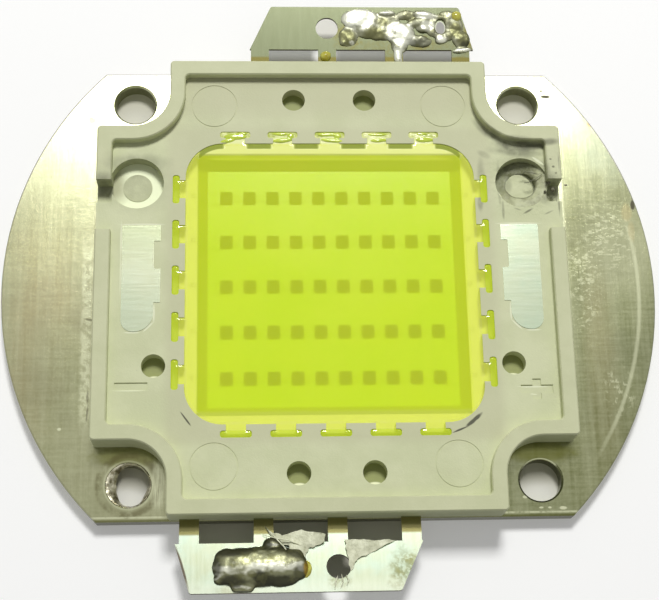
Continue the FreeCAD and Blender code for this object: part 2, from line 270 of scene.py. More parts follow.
plateLook = {
    "metal": rgb(142, 141, 108), "pale": rgb(186, 188, 156), "dark": rgb(104, 106, 72),
    "dim": rgb(86, 92, 50), "brown": rgb(152, 134, 94), "olive": rgb(118, 124, 84),
    "orange": rgb(190, 156, 92), "soot": rgb(60, 52, 34), "mustardShade": rgb(102, 104, 30),
    "mint": rgb(172, 184, 170), "mossShade": rgb(82, 84, 34), "rim": rgb(168, 164, 152),
    "rubbed": rgb(84, 78, 46), "side": rgb(84, 76, 54), "underGel": rgb(218, 246, 30),
    "roughness": (0.16, 0.24), "metallic": 0.9, "screwHole": 17.0, "gelEdge": (12.6, 12.5),
    "stripX": -20.75, "rightStripX": 20.35, "lineRadius": 26.6, "edgeHighlightY": -19.66,
    # wide stains under the clouding, and painted shade and painted sheen on the ears over it, as paintSpots
    # takes them, with edges of their own
    "stains": ((-24.5, -2.5, 2.6, 8.5, "brown", 0.55, 0, 0.6, 0.9, 0.35),
               (22.8, -7.0, 1.3, 8.0, "brown", 0.4, 0, 0.6, 0.9, 0.4),
               (-23.3, -7.5, 2.3, 4.2, "dark", 0.55, 0, 0.7, 0.9, 0.5)),
    "paintedShadeAndSheen": ((23.5, 9.0, 4.2, 5.5, "dim", 0.6, 0, 0.5, 0.5, 0.3),
               (25.2, 3.0, 2.6, 3.4, "pale", 0.3, 0, 0.6, 0.5, 0.3),
               (22.5, -14.5, 4.0, 7.0, "mossShade", 0.6, 0, 0.6, 0.5, 0.3),
               (-24.0, 7.5, 3.2, 5.5, "olive", 0.22, 0, 0.6, 0.5, 0.3),
               (23.6, 13.0, 1.8, 3.4, "mint", 0.3, -35, 0.6, 0.9, 0.6)),
    "spots": ((-20.78, 15.5, 0.3, 0.3, "soot", 0.3), (19.25, 18.4, 0.13, 0.12, "soot", 0.5),
              (19.6, 17.85, 0.4, 0.14, "soot", 0.8), (23.4, 15.15, 0.18, 0.24, "brown", 1.0),
              (26.7, 7.4, 0.2, 0.5, "soot", 0.75), (26.1, 6.7, 0.45, 0.8, "orange", 0.15),
              (26.4, 4.9, 0.3, 0.9, "orange", 0.12), (20.9, 9.3, 0.14, 0.08, "soot", 0.7),
              # painted shade of the frame's wall above the lower screw holes, tinted olive-yellow
              (-17.0, -14.6, 2.9, 0.8, "mustardShade", 0.6), (17.0, -14.6, 2.9, 0.9, "mustardShade", 0.6),
              (-19.4, -18.4, 1.2, 1.6, "olive", 0.1)),
    "chips": ((-22.76, -12.26, 0.16, 0.12, "pale", 1.0), (18.7, -19.35, 0.3, 0.14, "pale", 1.0),
              (16.9, -19.3, 0.18, 0.08, "pale", 1.0), (17.6, -19.3, 0.14, 0.08, "pale", 1.0),
              (15.6, -18.4, 0.2, 0.12, "pale", 1.0)),
    # dirt that breaks the pale strip
    "dirt": ((-20.5, -2.84, 0.4, 0.1, "soot", 0.55, 8), (-20.5, -9.6, 0.1, 0.5, "soot", 0.55),
             (-20.5, -10.9, 0.08, 0.6, "soot", 0.55, 4)),
    "spotEdge": (0.35, 0.6, 3.0), "chipEdge": (0.3, 0.5, 4.0), "dirtEdge": (0.5, 1.2, 2.5),
}


def makePlateMetal():
    look = plateLook
    material, tree, shader = newMaterial("plateMetal", metallic=look["metallic"])
    x, y, z = split(tree, places(tree))
    fine = strokes(tree, (9.0, 0.45, 1.0), 3.0)
    cloud = mottle(tree, 0.16, 1.0)
    # painted sheen paler towards +Y, painted shade darker towards -Y and over the right side
    colour = blend(tree, ramp(tree, y, 4.0, 17.0), look["metal"], look["pale"])
    colour = tint(tree, colour, look["dark"], ramp(tree, y, 4.0, -16.0), 0.15)
    colour = tint(tree, colour, look["dim"], ramp(tree, x, -6.0, 20.0), ramp(tree, y, 16.0, -8.0))
    colour = paintSpots(tree, colour, look, look["stains"])[0]
    colour = tint(tree, colour, look["olive"], cloud, 0.25)
    # painted shade and painted sheen on the ears
    colour = paintSpots(tree, colour, look, look["paintedShadeAndSheen"])[0]
    colour = tint(tree, colour, look["pale"], strokes(tree, (1.6, 0.07, 1.0)), 0.36)
    colour = tint(tree, colour, look["dark"], fine, 0.34)
    colour = tint(tree, colour, look["pale"], strokes(tree, (0.3, 5.0, 1.0), 21.0), 0.2)
    colour = tint(tree, colour, look["pale"], mottle(tree, 3.4, 12.0, 0.4, 0.7), 0.1)
    # pale strip worn along the frame's left side, and a fainter one at the right
    torn = ramp(tree, mottle(tree, 2.2, 5.0, 0.35, 0.6), 0.0, 1.0, 0.1, 0.65)
    colour = tint(tree, colour, look["pale"], band(tree, x, look["stripX"], 0.65, 0.25),
                  band(tree, y, -4.0, 9.5, 6.0), torn)
    colour = tint(tree, colour, look["pale"], band(tree, x, look["rightStripX"], 0.35, 0.1),
                  ramp(tree, y, -6.0, 2.0, 0.0, 0.7))
    # worn ring line that runs inside the right edge
    radius = roundReach(tree, x, y)
    colour = tint(tree, colour, look["pale"], band(tree, radius, look["lineRadius"], 0.26, 0.039),
                  ramp(tree, x, 21.0, 24.5, 0.0, 0.6), ramp(tree, y, 7.0, 2.0))
    # bright flecks and wavy scratches on the right ear
    flecks = ramp(tree, strokes(tree, (2.3, 4.4, 1.0), 9.0), 0.52, 0.76)
    flecked = calc(tree, "ADD", patch(tree, 24.3, 4.4, 1.9, 2.9, 0.6, 0.6, 0.8),
                   patch(tree, 21.8, 0.0, 1.2, 3.8, 0.6, 0.7, 0.9))
    colour = tint(tree, colour, look["pale"], flecks, calc(tree, "MINIMUM", flecked, 1.0), 0.62)
    scratches = ramp(tree, strokes(tree, (3.2, 2.0, 1.0), 7.0), 0.6, 0.8)
    fan = patch(tree, 24.2, -9.4, 1.3, 2.2, 0.6, 0.6, 0.8)
    colour = tint(tree, colour, look["pale"], scratches, fan, 0.6)
    colour, masks = paintSpots(tree, colour, look, look["spots"], look["spotEdge"])
    dull = most(tree, *masks["soot"])
    colour = paintSpots(tree, colour, look, look["chips"], look["chipEdge"])[0]
    colour = paintSpots(tree, colour, look, look["dirt"], look["dirtEdge"])[0]
    # worn ring round the lower left screw hole, and a painted highlight on the hole's edge
    reach = roundReach(tree, x, y, (-look["screwHole"], -look["screwHole"]))
    ring = band(tree, reach, 2.45, 0.42, 0.1, 0.0, 0.6)
    colour = tint(tree, colour, look["rubbed"], ring, mottle(tree, 0.9, 14.0, 0.35, 0.6))
    colour = blend(tree, band(tree, reach, 1.98, 0.12, 0.04, 0.0, 0.35), colour, look["pale"])
    # painted highlight on the upper edge of the lower right screw hole, and pale strokes beside the lower
    # left one
    reach = roundReach(tree, x, y, (look["screwHole"], -look["screwHole"]))
    colour = tint(tree, colour, look["pale"], band(tree, reach, 1.82, 0.06, 0.02, 0.0, 0.8),
                  ramp(tree, y, -17.6, -16.4))
    colour = tint(tree, colour, look["pale"], patch(tree, -14.6, -17.2, 0.6, 1.8, 0.3, 0.5, 1.2),
                  strokes(tree, (9.0, 0.5, 1.0), 30.0))
    # painted shade on the side face at the front and on the edge above it, then a painted highlight along the
    # edge's bevel
    colour = tint(tree, colour, look["side"], ramp(tree, normals(tree)[2], 0.5, 0.3),
                  ramp(tree, y, -19.0, -19.9))
    colour = blend(tree, ramp(tree, y, -19.76, -19.9, 0.0, 0.7), colour, look["mossShade"])
    colour = tint(tree, colour, look["pale"], band(tree, y, look["edgeHighlightY"], 0.12, 0.04, 0.0, 0.8),
                  mottle(tree, 1.4, 16.0, 0.35, 0.55))
    # dull line along the far edge
    farEdge = most(tree, ramp(tree, y, 19.8, 19.9), ramp(tree, radius, 27.82, 27.92))
    farEdge = times(tree, farEdge, ramp(tree, y, 6.0, 14.0, 0.0, 0.8))
    colour = blend(tree, farEdge, colour, look["rim"])
    dull = most(tree, dull, farEdge)
    # what lies under the gel takes the gel's tint
    underGel = ramp(tree, squareReach(tree, x, y), *look["gelEdge"], kind="LINEAR")
    plug(tree, shader["Base Color"], blend(tree, underGel, colour, look["underGel"]))
    grain = calc(tree, "ADD", times(tree, fine, 0.5), times(tree, cloud, 0.5))
    rough = ramp(tree, grain, 0.0, 1.0, *look["roughness"], kind="LINEAR")
    plug(tree, shader["Roughness"], most(tree, rough, dull))
    bare = times(tree, inverse(tree, underGel), inverse(tree, dull))
    plug(tree, shader["Metallic"], times(tree, bare, look["metallic"]))
    roughen(tree, shader, calc(tree, "ADD", fine, times(tree, flecks, 0.6)), 0.003, 0.5)
    return material


# frame: moulded white plastic, gone grey-green, burnt round the right recess

frameLook = {
    "plastic": rgb(199, 204, 161), "worn": rgb(208, 212, 171), "grey": rgb(190, 190, 154),
    "grimeAndShadow": rgb(120, 122, 92), "light": rgb(226, 230, 196), "soot": rgb(74, 74, 52),
    "underGel": rgb(254, 255, 150), "slope": rgb(170, 188, 44), "farSlopeShade": rgb(78, 92, 20),
    "roughness": 0.62, "rimZ": (4.1, 4.2), "floorZ": (3.6, 3.5), "gelZ": (3.42, 3.36),
    "gelEdge": (13.6, 13.54), "slopeEdge": (11.5, 11.44),
    # x, y, half width, half height and turn of the painted highlights on the edges of marks, slots and
    # recesses
    "lines": ((-16.85, -9.53, 1.35, 0.06, 0), (16.5, -9.5, 1.25, 0.06, 0), (16.5, -10.15, 0.3, 0.05, 0),
              (-16.1, 4.98, 1.75, 0.09, 0), (-17.84, 3.6, 0.08, 1.5, 0), (-17.84, 0.6, 0.05, 1.8, 0),
              (-15.0, 0.86, 0.45, 0.1, 0), (-16.8, -4.58, 0.6, 0.07, 0), (-15.0, -2.9, 0.08, 0.75, 0),
              (-15.45, -4.1, 0.55, 0.08, -45), (16.1, 4.98, 1.75, 0.09, 0), (14.98, 0.9, 0.4, 0.1, 0),
              (16.8, -4.58, 0.6, 0.07, 0), (15.0, -2.9, 0.08, 0.75, 0), (15.45, -4.1, 0.55, 0.08, 45),
              (18.2, 10.75, 0.6, 0.11, 38)),
    # the same of the hair cracks
    "cracks": ((-12.3, -11.95, 0.68, 0.07, 54), (11.4, -12.3, 0.85, 0.16, -40),
               (10.2, -13.1, 0.62, 0.08, -22)),
    # x, y, half width, half height, strength and turn of the sooty places round the right recess, and of
    # painted shade in the two slots and the left recess
    "sootAndShade": ((14.6, 12.9, 1.3, 0.3, 0.6, 40), (16.4, 12.3, 1.7, 0.45, 0.8, 5),
              (18.6, 12.2, 1.2, 0.3, 0.7, -5), (13.3, 13.9, 0.9, 0.3, 0.45, 50),
              (16.3, 11.7, 1.9, 0.45, 0.6, 5), (15.6, 9.0, 0.3, 0.7, 0.3, 0),
              (16.6, 10.5, 2.1, 0.8, 0.2, 0), (14.62, 8.6, 0.16, 1.7, 0.5, 0),
              (18.62, 9.0, 0.35, 1.5, 0.5, 0), (19.2, 8.3, 0.7, 0.9, 0.6, 0),
              (18.1, 7.3, 0.8, 0.35, 0.4, 30), (17.0, 6.1, 0.42, 0.08, 0.7, -30),
              (18.85, 6.0, 0.42, 0.07, 0.6, -25), (14.85, 6.2, 0.1, 0.75, 0.55, 0),
              (16.1, 6.3, 0.3, 0.07, 0.4, 20), (13.1, 9.0, 0.3, 1.8, 0.35, 0),
              (13.4, 11.4, 0.5, 0.25, 0.3, 30), (12.9, 6.9, 0.22, 0.7, 0.45, 0),
              # painted shade in the left slot and over the left recess
              (-19.4, 8.4, 0.9, 0.85, 0.6, 0), (-16.6, 10.6, 2.3, 0.8, 0.3, 0),
              (19.3, 9.9, 0.12, 0.1, 0.9, 0), (19.1, 10.6, 0.1, 0.08, 0.7, 0),
              (19.5, 9.3, 0.1, 0.1, 0.8, 0), (-16.6, 8.9, 2.6, 2.3, 0.26, 0),
              (19.8, 10.3, 0.06, 0.7, 0.5, 0), (19.75, 6.8, 0.08, 0.9, 0.6, 0)),
    "lineEdge": (0.3, 0.3, 1.5), "crackEdge": (0.3, 0.7, 2.0), "sootAndShadeEdge": (0.55, 0.6, 0.9),
}


def makeFramePlastic():
    look = frameLook
    material, tree, shader = newMaterial("framePlastic", roughness=look["roughness"])
    x, y, z = split(tree, places(tree))
    inside = squareReach(tree, x, y)
    onFloor = ramp(tree, z, *look["floorZ"])
    colour = blend(tree, mottle(tree, 0.35, 2.0), look["plastic"], look["worn"])
    colour = blend(tree, ramp(tree, inside, 14.6, 13.4, 0.0, 0.55), colour, look["grey"])
    colour = blend(tree, ramp(tree, z, *look["rimZ"], 0.0, 0.3), colour, look["grey"])
    # painted shadow of the top rim on the floor below it, then the floor greyer towards the rim
    colour = tint(tree, colour, look["grimeAndShadow"], onFloor, ramp(tree, y, 17.3, 18.5, 0.0, 0.42))
    colour = tint(tree, colour, look["grey"], onFloor, ramp(tree, y, 13.5, 16.5, 0.0, 0.7))
    streaks = ramp(tree, strokes(tree, (0.35, 0.9, 1.0), 4.0), 0.55, 1.0)
    colour = tint(tree, colour, look["grey"], streaks, 0.18)
    colour = tint(tree, colour, look["grimeAndShadow"], specks(tree, 0.42, 0.22, 0.055), 0.6)
    uneven = ramp(tree, mottle(tree, 0.9, 6.0, 0.3, 0.6), 0.0, 1.0, 0.6, 1.0)
    # soot, and painted shade in the slots and the left recess
    for *place, strength, turn in look["sootAndShade"]:
        darkened = patch(tree, *place, *look["sootAndShadeEdge"], turn)
        colour = tint(tree, colour, look["soot"], darkened, strength, uneven)
    # painted highlights along the edges of marks, slots and recesses
    for *place, turn in look["lines"]:
        colour = blend(tree, patch(tree, *place, *look["lineEdge"], turn), colour, look["light"])
    for *place, turn in look["cracks"]:
        colour = blend(tree, patch(tree, *place, *look["crackEdge"], turn), colour, look["soot"])
    # under the gel the walls are tinted by it
    below = times(tree, ramp(tree, inside, *look["gelEdge"], kind="LINEAR"), ramp(tree, z, *look["gelZ"]))
    colour = blend(tree, below, colour, look["underGel"])
    # painted shade on the cavity's slope under the gel, darkest on the far slope
    slope = blend(tree, ramp(tree, y, 10.4, 10.6), look["slope"], look["farSlopeShade"])
    colour = tint(tree, colour, slope, below, ramp(tree, inside, *look["slopeEdge"], kind="LINEAR"))
    plug(tree, shader["Base Color"], colour)
    wrinkles = times(tree, mottle(tree, 1.6, 8.0, 0.2, 0.8), patch(tree, 16.6, 9.0, 3.4, 3.4, 0.3, 0.5, 0.8))
    height = calc(tree, "ADD", times(tree, mottle(tree, 6.0, 3.0, 0.2, 0.8), 0.12), wrinkles)
    roughen(tree, shader, height, 0.08, 0.7)
    return material


# leadframes: tinned copper, brushed across on the lands and along on the tabs

leadLook = {
    "tin": rgb(176, 184, 154), "mint": rgb(168, 184, 158), "shade": rgb(138, 146, 108),
    "dim": rgb(108, 114, 80),
    "pale": rgb(206, 212, 192), "olive": rgb(122, 114, 58), "residue": rgb(126, 124, 70),
    "solderSpot": rgb(168, 166, 160), "cool": rgb(176, 204, 196), "grey": rgb(168, 168, 138),
    "burr": rgb(92, 84, 70), "topTab": rgb(132, 138, 108), "underGel": rgb(254, 255, 150),
    "holeShadow": rgb(146, 152, 92), "holeLitCrescent": rgb(240, 242, 206), "ring": rgb(226, 232, 196),
    "ringShade": rgb(166, 168, 132), "roughness": 0.17, "dullRoughness": 0.6, "metallic": 0.85,
    "tabY": (19.9, 20.1), "gelEdge": (13.7, 13.6), "holeRadius": 1.06,
    "holes": ((-3.1, 16.56), (3.1, 16.56), (-3.1, -16.56), (3.1, -16.56), (-15.0, -7.45), (15.0, -7.45)),
    # dried flux and heat stains on the tabs, as paintSpots takes them
    "stains": ((5.35, -24.3, 1.1, 1.6, "residue", 1.0), (0.0, -25.2, 0.8, 0.7, "residue", 0.9),
               (-9.0, -25.8, 1.2, 0.3, "residue", 0.8), (0.9, -23.0, 0.2, 0.5, "residue", 0.5),
               (4.5, -25.6, 0.6, 0.3, "residue", 0.6), (-11.3, -25.6, 0.3, 0.2, "residue", 0.3),
               (1.9, 23.3, 1.1, 1.2, "olive", 0.7), (8.5, 22.7, 0.9, 0.7, "olive", 0.7),
               (12.7, 23.3, 0.5, 1.6, "olive", 0.75), (12.0, 20.9, 0.7, 0.6, "olive", 0.6),
               (6.1, 21.2, 0.8, 0.9, "olive", 0.5), (7.0, 22.4, 5.4, 0.5, "olive", 0.35)),
    # dark burr lines along the slanted sides of the lower tab
    "burrs": ((-12.5, -24.15, 0.16, 1.95, "burr", 1.0, -16.5), (6.36, -24.0, 0.08, 1.95, "burr", 1.0, 23.7)),
    "stainEdge": (0.5, 1.1, 1.8), "burrEdge": (0.3, 0.2, 1.0),
}


def makeLeadMetal():
    look = leadLook
    material, tree, shader = newMaterial("leadMetal", roughness=look["roughness"], metallic=look["metallic"])
    x, y, z = split(tree, places(tree))
    across = strokes(tree, (0.35, 5.5, 1.0), 2.0)
    along = strokes(tree, (3.2, 0.25, 1.0), 5.0)
    onTab = ramp(tree, calc(tree, "ABSOLUTE", y), *look["tabY"])
    topTab = ramp(tree, y, *look["tabY"])
    bottomTab = ramp(tree, y, -look["tabY"][0], -look["tabY"][1])
    colour = blend(tree, mottle(tree, 0.3, 4.0), look["tin"], look["mint"])
    colour = blend(tree, ramp(tree, x, -4.0, -12.0, 0.0, 0.6), colour, look["grey"])
    colour = tint(tree, colour, look["pale"], across, 0.4)
    colour = tint(tree, colour, look["mint"], ramp(tree, y, 3.0, -4.5, 0.0, 0.35), inverse(tree, onTab))
    # painted shade on the upper left land
    colour = tint(tree, colour, look["shade"], ramp(tree, y, 0.0, 5.0, 0.0, 0.55), ramp(tree, x, 0.0, -6.0))
    colour = blend(tree, topTab, colour, tint(tree, look["topTab"], look["dim"], along, 0.4))
    colour = blend(tree, bottomTab, colour, tint(tree, look["tin"], look["pale"], along, 0.4))
    broken = ramp(tree, mottle(tree, 3.6, 7.0, 0.35, 0.6), 0.0, 1.0, 0.25, 1.0)
    colour = paintSpots(tree, colour, look, look["stains"], look["stainEdge"], broken)[0]
    spot = patch(tree, 10.24, 24.06, 0.42, 0.62, 0.2, 0.2, 1.0)
    colour = blend(tree, spot, colour, look["solderSpot"])
    colour = tint(tree, colour, look["cool"], bottomTab, mottle(tree, 0.35, 15.0, 0.4, 0.65), 0.35)
    colour = paintSpots(tree, colour, look, look["burrs"], look["burrEdge"])[0]
    colour = blend(tree, ramp(tree, y, -24.6, -25.8, 0.0, 0.5), colour, look["pale"])
    # side faces of the tabs are dark
    dull = times(tree, ramp(tree, calc(tree, "ABSOLUTE", normals(tree)[2]), 0.6, 0.4), onTab)
    colour = blend(tree, dull, colour, look["burr"])
    # painted shadow of the frame's wall, tinted olive, where the legs leave the frame
    root = ramp(tree, calc(tree, "ABSOLUTE", y), 21.4, 21.2, 0.0, 0.9)
    colour = tint(tree, colour, look["olive"], root, onTab)
    # painted shadow in the bottoms of the blind holes, with a painted lit crescent at the near edge
    for px, py in look["holes"]:
        hole = patch(tree, px, py, look["holeRadius"], look["holeRadius"], 0.05, 0.0)
        colour = blend(tree, hole, colour, look["holeShadow"])
        colour = blend(tree, patch(tree, px + 0.05, py - 0.78, 0.5, 0.2, 0.3, 0.1), colour, look["holeLitCrescent"])
        dull = most(tree, dull, hole)
    # the ring round the left plug is painted pale for its sheen, with painted shade at its left
    ring = patch(tree, -16.6, 8.75, 2.36, 2.36, 0.03, 0.0)
    ringColour = blend(tree, patch(tree, -18.9, 8.9, 1.3, 1.6, 0.6, 0.5), look["ring"], look["ringShade"])
    colour = blend(tree, ring, colour, ringColour)
    dull = most(tree, dull, times(tree, ring, 0.85))
    underGel = ramp(tree, squareReach(tree, x, y), *look["gelEdge"], kind="LINEAR")
    plug(tree, shader["Base Color"], blend(tree, underGel, colour, look["underGel"]))
    bare = inverse(tree, most(tree, underGel, dull, spot))
    plug(tree, shader["Metallic"], times(tree, bare, look["metallic"]))
    plug(tree, shader["Roughness"], ramp(tree, bare, 0.0, 1.0, look["dullRoughness"], look["roughness"]))
    roughen(tree, shader, blend(tree, onTab, across, along), 0.003, 0.5)
    return material


# gel: clear silicone full of yellow phosphor, thinner over the leads' ledge

gelLook = {
    "gel": rgb(232, 253, 26), "warm": rgb(237, 254, 32), "pale": rgb(244, 255, 88), "deep": rgb(216, 238, 44),
    "upper": rgb(250, 255, 160), "upperKeyHighlight": rgb(250, 255, 180), "upperBarShade": rgb(176, 192, 56),
    "line": rgb(244, 250, 120), "edgeShadow": rgb(120, 138, 20), "roughness": 0.06, "edgeRoughness": 0.85,
    "alphaDeep": 0.59, "alphaLedge": 0.55, "alphaKey": 0.72, "alphaLine": 0.9, "alphaUpper": 0.92,
    "windowHalf": 12.455, "corner": 3.2, "ledgeEdge": (11.2, 11.6), "keyPitch": 4.1,
}


def makeGelMaterial():
    look = gelLook
    material, tree, shader = newMaterial("phosphorGel", roughness=look["roughness"], IOR=1.43)
    x, y, z = split(tree, places(tree))
    inside = squareReach(tree, x, y)
    colour = blend(tree, mottle(tree, 0.22, 1.0), look["gel"], look["warm"])
    overLedge = ramp(tree, inside, *look["ledgeEdge"])
    colour = blend(tree, overLedge, colour, look["pale"])
    upper = times(tree, overLedge, ramp(tree, y, 11.0, 11.5))
    colour = tint(tree, colour, look["upper"], upper, 0.75)
    deepKey = ramp(tree, inside, 12.9, 13.0)
    colour = blend(tree, deepKey, colour, look["deep"])
    # painted highlight over the upper keys, and painted shade on the far part of their bars
    upperKeyHighlight = ramp(tree, y, 12.3, 12.5)
    colour = blend(tree, upperKeyHighlight, colour, look["upperKeyHighlight"])
    colour = tint(tree, colour, look["upperBarShade"], ramp(tree, y, 12.95, 13.15),
                  mottle(tree, 0.7, 22.0, 0.4, 0.6), 0.85)
    # pale line where the gel climbs the window's wall, a painted glint on the meniscus, measured from a
    # square with rounded corners
    straight = look["windowHalf"] - look["corner"]
    beyond = [most(tree, calc(tree, "SUBTRACT", calc(tree, "ABSOLUTE", axis), straight), 0.0)
              for axis in (x, y)]
    away = roundReach(tree, *beyond)
    line = times(tree, band(tree, away, look["corner"] - 0.1, 0.2, 0.06),
                 ramp(tree, mottle(tree, 1.2, 7.0, 0.35, 0.6), 0.0, 1.0, 0.2, 0.6))
    colour = blend(tree, line, colour, look["line"])
    # painted shadow on the far edge between the keys, where the plastic stands over the gel
    fromKey = calc(tree, "PINGPONG", calc(tree, "ADD", x, 5 * look["keyPitch"]), look["keyPitch"] / 2)
    strip = times(tree, band(tree, away, look["corner"] - 0.25, 0.3, 0.18), ramp(tree, fromKey, 0.85, 1.15),
                  ramp(tree, y, 10.4, 11.4))
    plug(tree, shader["Base Color"], tint(tree, colour, look["edgeShadow"], strip, 0.8))
    plug(tree, shader["Roughness"], ramp(tree, strip, 0.0, 0.5, look["roughness"], look["edgeRoughness"]))
    alpha = ramp(tree, inside, *look["ledgeEdge"], look["alphaDeep"], look["alphaLedge"])
    alpha = most(tree, alpha, times(tree, deepKey, look["alphaKey"]),
                 times(tree, most(tree, line, strip), look["alphaLine"]),
                 times(tree, most(tree, upperKeyHighlight, upper), look["alphaUpper"]))
    outside = inverse(tree, add(tree, "NewGeometry").outputs["Backfacing"])
    plug(tree, shader["Alpha"], times(tree, alpha, outside))
    return material


# solder: molten metal that froze, with a painted highlight stripe on top, painted shade on its steeper sides
# and flux burnt onto it

solderLook = {
    "bright": rgb(210, 211, 194), "dull": rgb(120, 121, 94), "dark": rgb(44, 44, 26),
    "flux": rgb(150, 120, 30), "olive": rgb(92, 92, 58), "roughness": (0.34, 0.46), "spotEdge": (0.35, 0.9, 1.3), "burntMetallic": 0.2,
}
dropLook = {
    # the painted highlight stripe is where the normal's Y starts, is full, starts to end and has ended
    "highlightStripe": (-0.26, -0.1, 0.02, 0.16), "shine": 0.75, "dirt": 0.6, "steepShade": 0.9, "metallic": 0.92,
    "spots": ((-6.24, -24.9, 0.7, 0.5, "dark", 0.85), (-8.5, -25.2, 1.1, 0.5, "dark", 0.8),
              (-9.9, -24.2, 0.5, 0.9, "dark", 0.7), (-8.7, -22.7, 1.5, 0.5, "dark", 0.85),
              (-6.3, -22.3, 1.2, 0.4, "dark", 0.8), (-5.3, -21.7, 0.7, 0.4, "dark", 0.7),
              (-3.4, -22.9, 0.8, 0.5, "dark", 0.6), (-3.0, -24.6, 0.6, 0.7, "dark", 0.6),
              (-2.5, -24.2, 0.35, 0.7, "flux", 0.9), (-4.8, -25.2, 1.8, 0.5, "dark", 0.85),
              (-7.0, -24.6, 0.4, 0.3, "olive", 0.8), (-8.0, -24.1, 0.9, 0.35, "olive", 0.5)),
}
poolLook = {
    "highlightStripe": (-0.5, -0.2, 0.0, 0.3), "shine": 0.15, "dirt": 0.7, "steepShade": 0.35, "metallic": 0.6,
    "spots": ((3.0, 24.8, 1.6, 1.15, "bright", 1.0), (6.6, 23.4, 1.25, 1.15, "bright", 1.0),
              (6.4, 21.5, 0.6, 0.9, "bright", 0.9), (5.4, 25.5, 0.7, 0.25, "bright", 0.9),
              (8.9, 25.2, 1.0, 0.35, "bright", 0.8), (9.1, 24.2, 0.6, 0.45, "bright", 0.85),
              (10.3, 22.9, 0.45, 0.35, "bright", 0.9), (12.2, 21.9, 0.8, 0.22, "bright", 1.0),
              (1.9, 23.1, 0.8, 0.85, "olive", 0.9), (2.2, 22.6, 0.25, 0.2, "bright", 0.7),
              (4.3, 23.3, 1.1, 0.8, "olive", 0.9), (4.6, 22.6, 1.3, 0.4, "dark", 0.6),
              (8.3, 22.6, 0.9, 0.55, "dark", 0.6), (5.0, 24.6, 0.7, 0.4, "olive", 0.8),
              (7.4, 25.0, 0.6, 0.5, "olive", 0.7), (8.4, 25.9, 1.3, 0.3, "dark", 0.6),
              (11.6, 23.9, 0.6, 0.7, "olive", 0.9), (12.4, 23.0, 0.7, 0.8, "olive", 0.9),
              (12.5, 22.5, 0.5, 0.3, "dark", 0.8), (9.9, 23.6, 0.4, 0.3, "dark", 0.5)),
}


def makeSolder(name, own):
    look = solderLook
    material, tree, shader = newMaterial(name, Specular_IOR_Level=0.2)
    normalX, normalY, normalZ = normals(tree)
    start, full, ending, ended = own["highlightStripe"]
    # painted highlight stripe from the normal's Y, and painted shade on steep sides from the normal's Z
    lit = times(tree, ramp(tree, normalY, start, full), ramp(tree, normalY, ended, ending))
    fine = mottle(tree, 3.0, 2.0, 0.4, 0.7)
    colour = tint(tree, look["dull"], look["olive"], fine, 0.35)
    colour = blend(tree, ramp(tree, normalZ, 0.9, 0.5, 0.0, own["steepShade"]), colour, look["dark"])
    colour = tint(tree, colour, look["bright"], lit, own["shine"])
    colour, masks = paintSpots(tree, colour, look, own["spots"], look["spotEdge"])
    burnt = most(tree, *masks["dark"])
    colour = tint(tree, colour, look["olive"], mottle(tree, 1.1, 17.0, 0.5, 0.64), own["dirt"])
    plug(tree, shader["Base Color"], colour)
    plug(tree, shader["Roughness"], ramp(tree, fine, 0.0, 1.0, *look["roughness"]))
    plug(tree, shader["Metallic"], ramp(tree, burnt, 0.2, 0.8, own["metallic"], look["burntMetallic"]))
    roughen(tree, shader, fine, 0.012, 0.6)
    return material


# plastic that melted: clean at the lower right, black in the crescent and round the plug

burntLook = {
    "clean": rgb(190, 194, 154), "worn": rgb(150, 152, 116), "low": rgb(110, 108, 80),
    "plug": rgb(96, 98, 70),
    "scorched": rgb(104, 107, 72), "singed": rgb(124, 128, 90), "glint": rgb(236, 238, 200),
    "middle": (16.6, 8.75),
    "spots": ((16.0, 10.3, 1.9, 0.9, "scorched", 1.0, 0, 0.4, 0.9, 1.5),
              (14.8, 9.3, 0.5, 1.3, "singed", 1.0, 0, 0.4, 0.6, 1.5),
              (14.7, 7.8, 0.14, 0.5, "glint", 1.0, -20, 0.4, 0.5, 1.5)),
}


def makeBurntPlastic():
    look = burntLook
    material, tree, shader = newMaterial("burntPlastic", roughness=0.5)
    x, y, z = split(tree, places(tree))
    colour = blend(tree, mottle(tree, 1.2, 3.0, 0.35, 0.65), look["clean"], look["worn"])
    colour = tint(tree, colour, look["low"], ramp(tree, z, 3.2, 2.5), 0.3)
    reach = roundReach(tree, x, y, look["middle"])
    colour = blend(tree, ramp(tree, reach, 1.45, 1.3, 0.0, 0.7), colour, look["plug"])
    plug(tree, shader["Base Color"], paintSpots(tree, colour, look, look["spots"])[0])
    roughen(tree, shader, mottle(tree, 2.4, 9.0, 0.2, 0.8), 0.06, 0.8)
    return material


# plain finishes: two colours that change from spot to spot

plainLooks = {
    # two colours, then the mottle's scale, shift, low and high, then what the shader takes
    "dieCrystal": (rgb(40, 58, 6), rgb(54, 72, 10), (1.4, 3.0),
                   {"roughness": 0.6, "Specular_IOR_Level": 0.1}),
    "bondSilver": (rgb(190, 190, 180), rgb(205, 205, 190), (2.0, 3.0), {"roughness": 0.4, "metallic": 0.8}),
    "wireGold": (rgb(152, 164, 48), rgb(134, 144, 36), (2.0, 6.0), {"roughness": 0.5, "metallic": 0.3}),
    "amberFlux": (rgb(214, 212, 84), rgb(172, 160, 36), (2.0, 5.0), {"roughness": 0.12, "Alpha": 0.85}),
    "burntCrumb": (rgb(40, 40, 28), rgb(110, 108, 84), (4.0, 5.0), {"roughness": 0.6}),
    "threadGrey": (rgb(150, 152, 122), rgb(84, 86, 64), (3.0, 5.0), {"roughness": 0.6}),
    "burrMetal": (rgb(206, 202, 178), rgb(120, 114, 88), (1.8, 3.0, 0.4, 0.6),
                  {"roughness": 0.3, "metallic": 0.8}),
    "gelSkin": (rgb(205, 222, 70), rgb(188, 208, 60), (1.5, 3.0), {"roughness": 0.08}),
}
